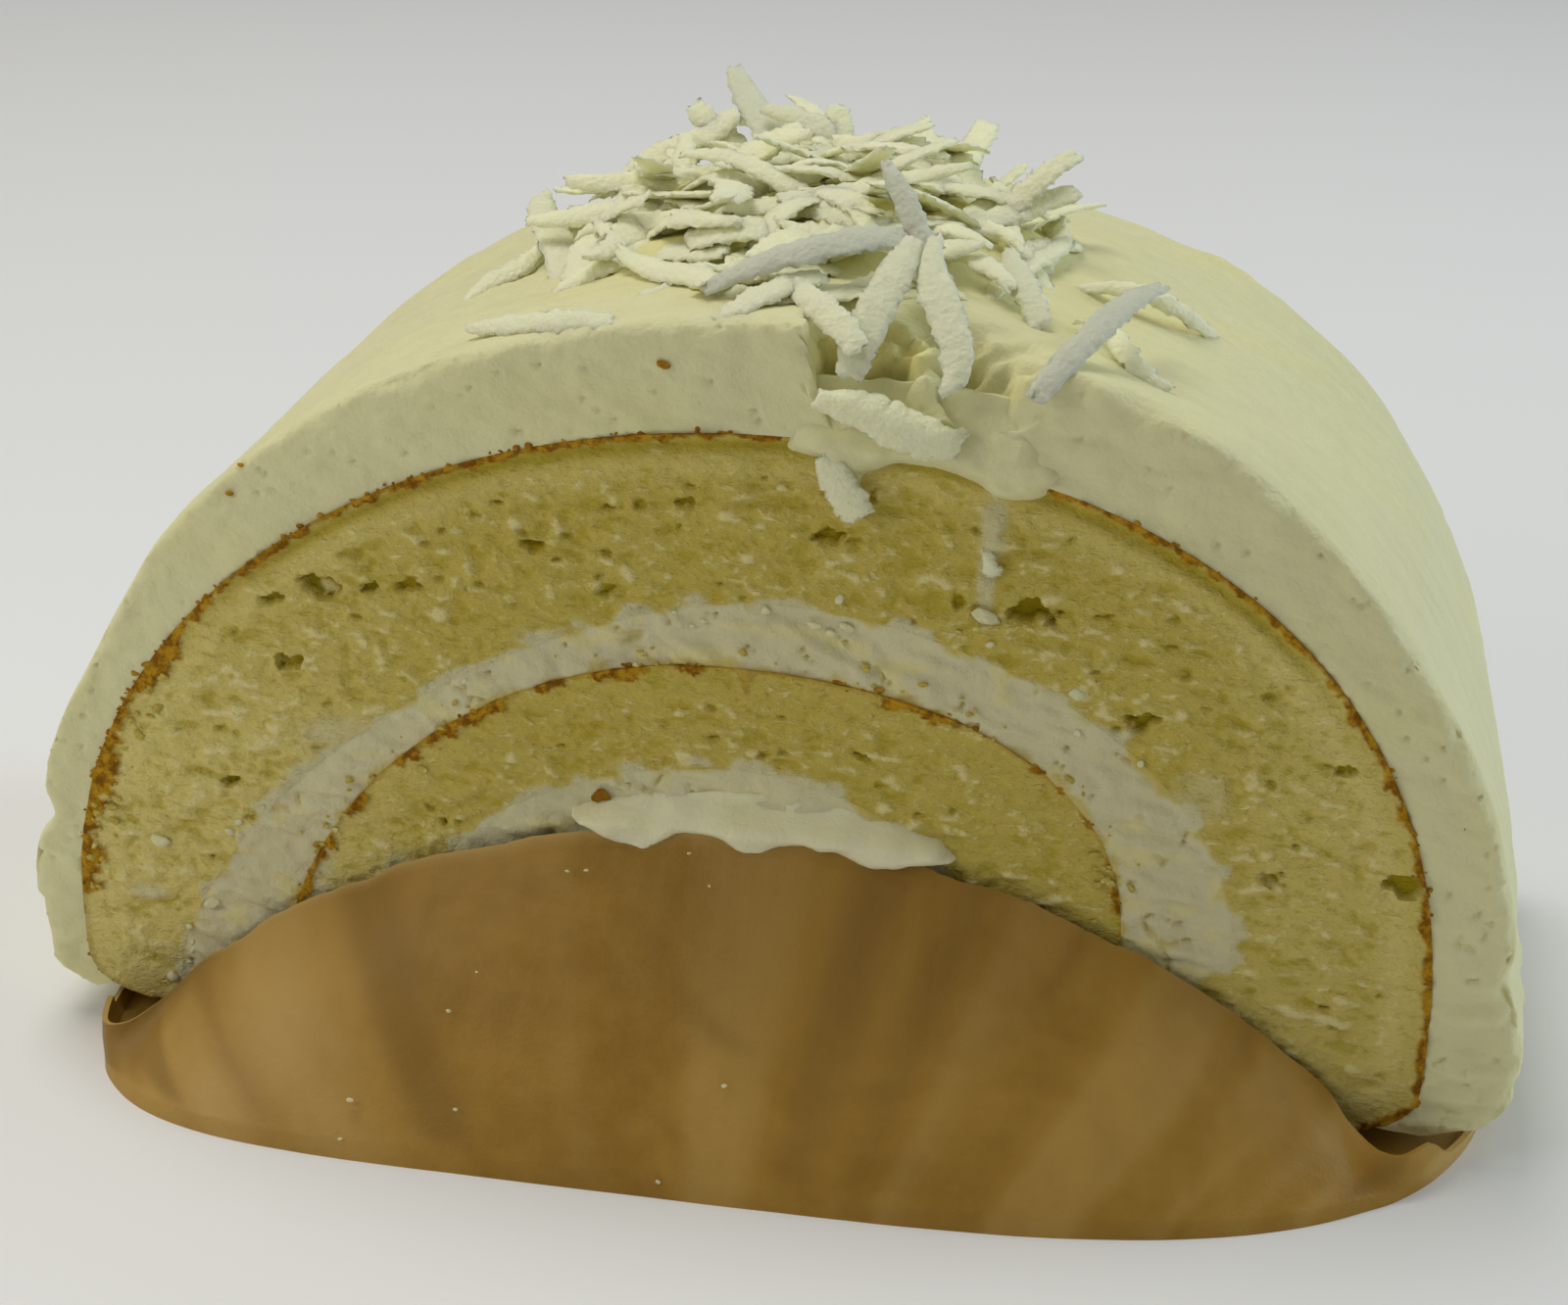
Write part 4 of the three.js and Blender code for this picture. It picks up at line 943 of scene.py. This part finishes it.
def make_case():
    x, y = fold_line(0.38).T
    edge_x, edge_y, edge_z = case_edge(x, y)
    turns = len(x)
    floor_share = (0.35, 0.7, 0.9, 0.975)
    fold = len(floor_share)
    climb = np.linspace(0, 1, 44)
    away = np.hypot(x, y)
    columns = [np.column_stack([x * r, y * r, np.full(turns, PAPER_WALL)]) for r in floor_share]
    tall = np.minimum(edge_z, 12) / 12
    slant = np.hypot(edge_y - y, edge_z)
    pleats = []
    for v in climb:
        # Pleats run out from the middle of the case, so on a flap they spread as they climb.
        px = x + (edge_x - x) * v
        fan = px / (1 + slant * v / 28)
        pleat = layers(fan, y, (0.6, 2.1, 3.2, 152), (0.7, 4.6, 6, 153))
        pleats.append(pleat)
        swell = math.sin(math.pi * v)
        bow = CASE["bulge"] * swell * tall
        wave = 0.30 * pleat * math.sin(math.pi * min(v * 0.95 + 0.03, 1)) * (0.25 + 0.75 * tall)
        crease = 0.10 * noise(fan / 6, v * 2.5, 154) * swell * tall
        hollow = spot(px, edge_z * v, *PRESSED["centre"], *PRESSED["radius"]) * (y < -25)
        press = bow + wave + crease - 0.45 * hollow * swell
        columns.append(np.column_stack([
            px + press * x * 0.3 / away,
            y + (edge_y - y) * v + press * y / away,
            PAPER_WALL + (edge_z - PAPER_WALL) * v]))
    inner = np.stack(columns, axis=1)
    rings = inner.shape[1]
    middle = [[0, 0, PAPER_WALL], [0, 0, 0]]
    outer = paper_thickness(inner, fold)
    points = np.vstack([middle, inner.reshape(-1, 3), outer.reshape(-1, 3)])
    a = 2 + (np.arange(turns)[:, None] * rings + np.arange(rings)[None])
    b = np.roll(a, -1, axis=0)
    shift = turns * rings
    quad = np.stack([a[:, :-1], a[:, 1:], b[:, 1:], b[:, :-1]], axis=-1).reshape(-1, 4)
    split = lambda q: np.vstack([q[:, [0, 1, 2]], q[:, [0, 2, 3]]])
    rim = np.stack([a[:, -1], a[:, -1] + shift, b[:, -1] + shift, b[:, -1]], axis=-1)
    centre = np.zeros(turns, int)
    faces = np.vstack([
        split(quad), split(quad + shift)[:, ::-1], split(rim),
        np.column_stack([centre, a[:, 0], b[:, 0]]),
        np.column_stack([centre + 1, b[:, 0] + shift, a[:, 0] + shift])])
    v = np.concatenate([[0, 0], np.tile(np.concatenate([np.zeros(fold), climb]), turns * 2)])
    pleat = np.hstack([np.zeros((turns, fold)), np.array(pleats).T]).ravel()
    pleat = np.concatenate([[0, 0], pleat, pleat])
    return piece("paper_baking_case", points, faces, PAPER, paper_marks(points, v, pleat))


def flap_point(made_case, x, z, stand):
    """The point on the outside of the front flap at x and height z, `stand` in front of it."""
    near = [v.co for v in made_case.data.vertices
            if v.co.y < -CUT * MM and abs(v.co.x / MM - x) < 0.8 and abs(v.co.z / MM - z) < 0.8]
    return (x, min(p.y for p in near) / MM - stand, z)


# ---- what is laid on by the piece: coconut shreds, crumbs and flakes ----
def new_tree(name, sizes):
    """An empty Geometry Nodes tree with named inputs: a geometry, its sizes and its finish."""
    tree = bpy.data.node_groups.new(name, "GeometryNodeTree")
    tree.interface.new_socket("Geometry", in_out="INPUT", socket_type="NodeSocketGeometry")
    for label, value in sizes.items():
        kind = "NodeSocketInt" if isinstance(value, int) else "NodeSocketFloat"
        made = tree.interface.new_socket(label, in_out="INPUT", socket_type=kind)
        made.default_value = value
    tree.interface.new_socket("Finish", in_out="INPUT", socket_type="NodeSocketMaterial")
    tree.interface.new_socket("Geometry", in_out="OUTPUT", socket_type="NodeSocketGeometry")
    return tree


class PieceNodes(Nodes):
    """The nodes that both trees of small pieces share."""

    def __init__(self, tree):
        super().__init__(tree)
        self.given = self.node("NodeGroupInput").outputs

    def moved(self, geometry, key, value):
        """The geometry with its points at a new Position or moved by an Offset."""
        return self.out("GeometryNodeSetPosition", {"Geometry": geometry, key: value})

    def marked(self, geometry, name, value):
        return self.out("GeometryNodeStoreNamedAttribute",
                        {"Geometry": geometry, "Name": name, "Value": value},
                        data_type="FLOAT", domain="POINT")

    def on_points(self, shape):
        """The shape put on each given point, turned and sized by the point's marks."""
        turn = self.out("FunctionNodeEulerToRotation", {0: self.attribute("turn", "FLOAT_VECTOR")})
        laid = self.out("GeometryNodeInstanceOnPoints", {
            "Points": self.given["Geometry"], "Instance": shape, "Rotation": turn,
            "Scale": self.attribute("size", "FLOAT_VECTOR")})
        return self.out("GeometryNodeRealizeInstances", {"Geometry": laid})

    def finished(self, geometry, reach, lumps):
        """The geometry made uneven by noise that moves it by a share of `reach`, and its finish."""
        place = self.out("GeometryNodeInputPosition")
        uneven = self.out("ShaderNodeTexNoise", {"Vector": place, "W": self.given["Seed"], **lumps},
                          "Color", noise_dimensions="4D")
        shift = self.vector("SUBTRACT", uneven, (0.5, 0.5, 0.5))
        rough = self.moved(geometry, "Offset", self.vector("SCALE", shift, reach))
        soft = self.out("GeometryNodeSetShadeSmooth", {"Geometry": rough})
        done = self.out("GeometryNodeSetMaterial",
                        {"Geometry": soft, "Material": self.given["Finish"]})
        self.node("NodeGroupOutput", {"Geometry": done})
        return self.tree


def shred_tree():
    """Flat bent strips with ragged edges, one on each point, turned and sized by its marks."""
    n = PieceNodes(new_tree("coconut_shreds", {
        "Ragged edge": 0.22 * MM, "Lumps per metre": 900.0, "Blunt end": 0.25,
        "Drawn out tip": 0.5, "Seed": 4.0}))
    times = lambda a, b: n.maths("MULTIPLY", a, b)
    less = lambda a, b: n.maths("SUBTRACT", a, b)
    power = lambda a, b: n.maths("POWER", a, b)
    strip = n.out("GeometryNodeMeshCube", {"Size": (1, 1, 1), "Vertices X": 39, "Vertices Y": 7,
                                           "Vertices Z": 2})
    x, y, z = n.node("ShaderNodeSeparateXYZ", {0: n.out("GeometryNodeInputPosition")}).outputs
    along = times(x, 2.0)
    along_size = n.maths("ABSOLUTE", along)
    across = n.maths("ABSOLUTE", times(y, 2.0))
    # The strip narrows a little at its ends and more at its tip, and thins out toward its rim.
    narrow = less(1.0, times(power(along_size, 4.0), n.given["Blunt end"]))
    forward = power(n.maths("MAXIMUM", less(0.0, along), 0.0), 1.6)
    narrow = times(narrow, less(1.0, times(forward, n.given["Drawn out tip"])))
    tip = power(along_size, 10.0)
    thin = times(less(1.0, times(power(across, 2.5), 0.75)), less(1.0, times(tip, 0.65)))
    shaped = n.out("ShaderNodeCombineXYZ", {0: x, 1: times(y, narrow), 2: times(z, thin)})
    strip = n.marked(n.moved(strip, "Position", shaped), "along", along)
    strip = n.marked(strip, "rim", n.maths("MAXIMUM", power(across, 3.0), tip))
    # Each strip bends up or down and sways to one side along its length, by its own marks.
    away = n.attribute("along")
    bow = times(less(times(away, away), 0.4), n.attribute("bend"))
    lift = n.vector("SCALE", n.attribute("up", "FLOAT_VECTOR"), times(bow, -1.0))
    twist = times(times(away, times(away, away)), n.attribute("sway"))
    sway = n.vector("SCALE", n.attribute("beside", "FLOAT_VECTOR"), twist)
    bent = n.moved(n.on_points(strip), "Offset", n.vector("ADD", lift, sway))
    # The rim is torn: the noise moves it far, and the flat of the strip only a little.
    reach = times(n.maths("ADD", n.attribute("rim"), 0.35), times(n.given["Ragged edge"], 2.4))
    return n.finished(bent, reach, {
        "Scale": n.given["Lumps per metre"], "Detail": 3.0, "Roughness": 0.7})


def bit_tree():
    """Small lumpy bits, one on each point, turned and sized by its marks."""
    n = PieceNodes(new_tree("lumpy_bits", {
        "Roundness": 2, "Lump size": 0.5, "Lumps per metre": 1400.0, "Seed": 2.0}))
    ball = n.out("GeometryNodeMeshIcoSphere",
                 {"Radius": 0.5, "Subdivisions": n.given["Roundness"]})
    size = n.vector("LENGTH", n.attribute("size", "FLOAT_VECTOR"))
    reach = n.maths("MULTIPLY", size, n.given["Lump size"])
    return n.finished(n.on_points(ball), reach, {
        "Scale": n.given["Lumps per metre"], "Detail": 2.0})


def lay(name, tree, rows, **settings):
    """Runs a tree on points laid out by `rows`, and gives the result as one plain mesh."""
    mesh = bpy.data.meshes.new(name + "_places")
    mesh.from_pydata([Vector(row["at"]) * MM for row in rows], [], [])
    for key in ("turn", "size", "up", "beside", "bend", "sway", "tone_and_shade"):
        values = np.array([row[key] for row in rows], np.float32)
        kind, field = ("FLOAT", "value") if values.ndim == 1 else ("FLOAT_VECTOR", "vector")
        mesh.attributes.new(key, kind, "POINT").data.foreach_set(field, values.ravel())
    thing = bpy.data.objects.new(name, mesh)
    bpy.context.scene.collection.objects.link(thing)
    modifier = thing.modifiers.new("made", "NODES")
    modifier.node_group = tree
    for item in tree.interface.items_tree:
        key = item.name.replace(" ", "_")
        if item.in_out == "INPUT" and key in settings:
            modifier[item.identifier] = settings[key]
    depsgraph = bpy.context.evaluated_depsgraph_get()
    real = bpy.data.meshes.new_from_object(thing.evaluated_get(depsgraph),
                                           preserve_all_data_layers=True, depsgraph=depsgraph)
    thing.modifiers.clear()
    thing.data = real
    bpy.data.meshes.remove(mesh)
    if settings["Finish"].name not in real.materials:
        real.materials.append(settings["Finish"])
    return thing


def posed(at, direction, up, sizes, bend=0.0, sway=0.0, tone_and_shade=0.0):
    """One laid piece: its middle, the way it points, its upper side, its length, width and
    thickness, how it bends and sways, and how grey it is: painted shade on shreds in shade, and a
    slight tone of its own on others."""
    ahead = Vector(direction).normalized()
    top = Vector(up)
    top = (top - ahead * top.dot(ahead)).normalized()
    across = top.cross(ahead)
    turn = Matrix((ahead, across, top)).transposed().to_euler()
    return {"at": at, "turn": tuple(turn), "size": tuple(s * MM for s in sizes),
            "up": tuple(top), "beside": tuple(across), "bend": bend * MM, "sway": sway * MM,
            "tone_and_shade": tone_and_shade}


def pointing(heading, slope):
    """The direction with a heading round the z axis and a slope above level, in radians."""
    level = math.cos(slope)
    return (math.cos(heading) * level, math.sin(heading) * level, math.sin(slope))


def named_shred(n, at, heading, slope, length, width, bend, tone_and_shade):
    """A shred placed after the photograph. Most lie with the flat side partly toward the front."""
    up = (0.5 * (chance(n, 3) - 0.5), -0.45 - 0.4 * chance(n, 5), 1)
    return posed(at, pointing(math.radians(heading), math.radians(slope)), up,
                 (1.1 * length, 0.88 * width, 0.5), 1.4 * bend, 2.6 * (chance(n, 4) - 0.5), tone_and_shade)


def pile_shred(n):
    """A shred of the pile, in a spiral round its middle and laid along the coat's slope."""
    out = math.sqrt((n + 0.5) / PILE["count"]) * (0.72 + 0.28 * chance(n, 1))
    turn = n * GOLDEN_ANGLE
    shortest, longest = PILE["length"]
    length = longest - (longest - shortest) * chance(n, 8)
    heading = 2 * math.pi * chance(n, 2)
    room = CUT - 2.3 - abs(math.sin(heading)) * length * 0.5
    x = PILE["middle"][0] + PILE["reach"][0] * out * math.cos(turn)
    y = min(max(PILE["middle"][1] + PILE["reach"][1] * out * math.sin(turn), -room), room)
    run = math.cos(heading) * length * 0.4
    slope = math.atan2(coat_top(x + run) - coat_top(x - run), 0.8 * length)
    slope += math.radians(56 * (chance(n, 4) - 0.5))
    heap = float(heap_height(x, y))
    raised = 0.15 + (1 - HEAP["core"]) * heap * chance(n, 3) + HEAP["core"] * heap
    z = (min(coat_top(x - run), coat_top(x + run)) + coat_top(x)) / 2 + raised
    z = min(z, PILE["top"] - 0.5 * length * abs(math.sin(slope)))
    up = (0.8 * (chance(n, 9) - 0.5), 0.9 * (chance(n, 10) - 0.7), 1)
    return posed((x, y, z), pointing(heading, slope), up, (length, 1.2 + 1.2 * chance(n, 5), 0.42),
                 1.9 * (chance(n, 6) - 0.2), 3.0 * (chance(n, 7) - 0.5), 0.25 * chance(n, 11) ** 2)


def make_shreds():
    rows = [named_shred(n, *shred) for n, shred in enumerate(NAMED_SHREDS)]
    rows += [pile_shred(n) for n in range(PILE["count"])]
    return lay("coconut_shreds", shred_tree(), rows, Ragged_edge=0.40 * MM,
               Lumps_per_metre=1900.0, Blunt_end=0.3, Drawn_out_tip=0.38, Seed=4.0, Finish=COCONUT)


def make_wet_shreds():
    """The lump of wet shred under the dent, and the two that hang down from the smear."""
    rows = [
        posed((7.7, -18.7, 43.5), (1, 0.02, -0.40), (0.15, -1, 0.35), (8.4, 2.3, 1.2), 0.4, 0.5),
        posed((5.2, -18.4, 39.5), (0.55, -0.05, -1), (0, -1, 0.1), (4.2, 2.0, 0.6), 0.1, 0.3, 0.1),
        posed((13.5, -18.2, 35.6), (0.3, -0.05, -1), (0, -1, 0.2), (1.6, 0.9, 0.4), 0.1, 0.1, 0.1)]
    return lay("wet_coconut_shreds", shred_tree(), rows, Ragged_edge=0.46 * MM,
               Lumps_per_metre=1300.0, Blunt_end=0.3, Drawn_out_tip=0.45, Seed=9.0,
               Finish=WET_COCONUT)


def bits(name, places, seed, material):
    """Small lumpy bits at given places: each x, y, z and size."""
    rows = []
    for n, (x, y, z, size) in enumerate(places):
        way = (1, 0.4 * (chance(n, 6, seed) - 0.5), 0.9 * (chance(n, 7, seed) - 0.5))
        sizes = (size * (1 + 0.8 * chance(n, 9, seed)), size, size * 0.55)
        rows.append(posed((x, y, z), way, (0, -1, 0.6 * (chance(n, 8, seed) - 0.5)), sizes))
    return lay(name, bit_tree(), rows, Roundness=2, Lump_size=0.75, Seed=float(seed),
               Finish=material)


def strewn(count, seed, path, spread, smallest, largest, stand=0.05):
    """Places near a path on the front cut face, picked by chance and `stand` in front of it."""
    places = []
    for n in range(count):
        p = path[int(chance(n, 1, seed) * (len(path) - 1))]
        x = p[0] + spread * (chance(n, 2, seed) - 0.5)
        z = p[1] + spread * (chance(n, 3, seed) - 0.5)
        size = smallest + (largest - smallest) * chance(n, 5, seed) ** 2
        if z > 2:
            places.append((x, -CUT - stand, z, size))
    return places


# ---- making the slice ----
sponge = make_sponge()
filling = make_filling()
coat = make_coat()
smear = make_smear()
ooze = make_ooze()
case = make_case()
shreds = make_shreds()
wet_shreds = make_wet_shreds()

top_skin = np.vstack([curve(SKIN, 200, 92), curve(SKIN, 66, -20)])
inner_skin = curve(INNER_SKIN, 175, 5)
brown_places = BROWN_SPECKS + strewn(110, 5, top_skin, 0.35, 0.12, 0.40, -0.05)
brown_places += strewn(90, 25, curve(SKIN, 165, 95), 0.45, 0.16, 0.42, -0.02)
brown_places += strewn(46, 15, inner_skin, 0.6, 0.15, 0.45)
skin_crumbs = bits("browned_crumbs", brown_places, 5, BROWN)

cream_places = [(*flap_point(case, x, z, 0.02), 0.6 * size) for x, z, size in FLAP_CRUMBS]
cream_places += strewn(26, 6, curve(FACE, 185, 20), 2.6, 0.2, 0.7) + CREAM_SPECKS
cream_bits = bits("cream_bits", cream_places, 6, COAT_CREAM)

cake_places = strewn(90, 7, inner_skin, 3.0, 0.15, 0.5, 0.1)
cake_places += strewn(44, 17, beside(curve(SKIN, 178, 150), -1.3), 1.6, 0.2, 0.6)
cake_crumbs = bits("cake_crumbs", cake_places, 7, SPONGE)

for thing, nodes, slot in (
        (sponge, ["sponge"], "sponge"),
        (filling, ["cream_filling"], "filling_cream"),
        (coat, ["outer_cream"], "coat_cream"),
        (smear, [], "coat_cream"),
        (ooze, [], "filling_cream"),
        (case, ["paper_case"], "baking_paper"),
        (shreds, [], "coconut"),
        (wet_shreds, [], "coconut"),
        (skin_crumbs, [], "browned_skin"),
        (cream_bits, [], "coat_cream"),
        (cake_crumbs, [], "sponge")):
    if nodes:
        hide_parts(*nodes)
    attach(thing, "root")


# ---- floor, light and camera ----
def pale_floor(reach):
    """A plain floor that reaches `reach` metres each way."""
    mesh = bpy.data.meshes.new("pale_floor")
    corners = [(-reach, -reach, 0), (reach, -reach, 0), (reach, reach, 0), (-reach, reach, 0)]
    mesh.from_pydata(corners, [], [(0, 1, 2, 3)])
    paint = Finish("pale_floor", Roughness=0.9, Specular_IOR_Level=0.1)
    paint.colour((0.86, 0.86, 0.85, 1.0))
    mesh.materials.append(paint.material)
    thing = bpy.data.objects.new("pale_floor", mesh)
    bpy.context.scene.collection.objects.link(thing)
    return thing


def soft_light(name, place, aim, size, watts, tint):
    """A round lamp `size` metres across, turned to what it lights."""
    lamp = bpy.data.lights.new(name, "AREA")
    lamp.shape, lamp.size, lamp.energy = "DISK", size, watts
    lamp.color = tint
    thing = bpy.data.objects.new(name, lamp)
    thing.location = place
    thing.rotation_euler = (Vector(aim) - Vector(place)).to_track_quat("-Z", "Y").to_euler()
    bpy.context.scene.collection.objects.link(thing)


floor = pale_floor(3.0)

world = bpy.context.scene.world or bpy.data.worlds.new("studio")
bpy.context.scene.world = world
world.use_nodes = True
sky = world.node_tree.nodes["Background"].inputs
sky["Color"].default_value = (1.0, 0.97, 0.94, 1.0)
sky["Strength"].default_value = 0.24
soft_light("overhead", (-0.16, 0.10, 0.55), (0, 0, 0.03), 0.34, 1.42, (1.0, 0.985, 0.94))
soft_light("front_left", (-0.14, -0.11, 0.13), (0, -0.018, 0.03), 0.10, 0.070, (1.0, 0.97, 0.92))
soft_light("right_fill", (0.50, 0.15, 0.25), (0.02, 0, 0.03), 0.40, 1.25, (0.74, 0.88, 1.0))

# The camera stands in front, a little to the right, and looks down at the cut face.
CAMERA_PLACE = Vector((27.825, -158.970, 92.089)) * MM
CAMERA_RIGHT = Vector((0.98271, 0.18474, 0.01195))
CAMERA_UP = Vector((-0.08504, 0.39317, 0.91552))
camera_data = bpy.data.cameras.new("camera")
camera_data.lens, camera_data.sensor_width = 63.7, 36.0
camera_data.clip_start, camera_data.clip_end = 0.01, 10.0
camera = bpy.data.objects.new("camera", camera_data)
turned = Matrix((CAMERA_RIGHT, CAMERA_UP, CAMERA_RIGHT.cross(CAMERA_UP))).transposed()
camera.matrix_world = Matrix.Translation(CAMERA_PLACE) @ turned.to_4x4()
bpy.context.scene.collection.objects.link(camera)
bpy.context.scene.camera = camera
bpy.context.scene.view_settings.view_transform = "Standard"
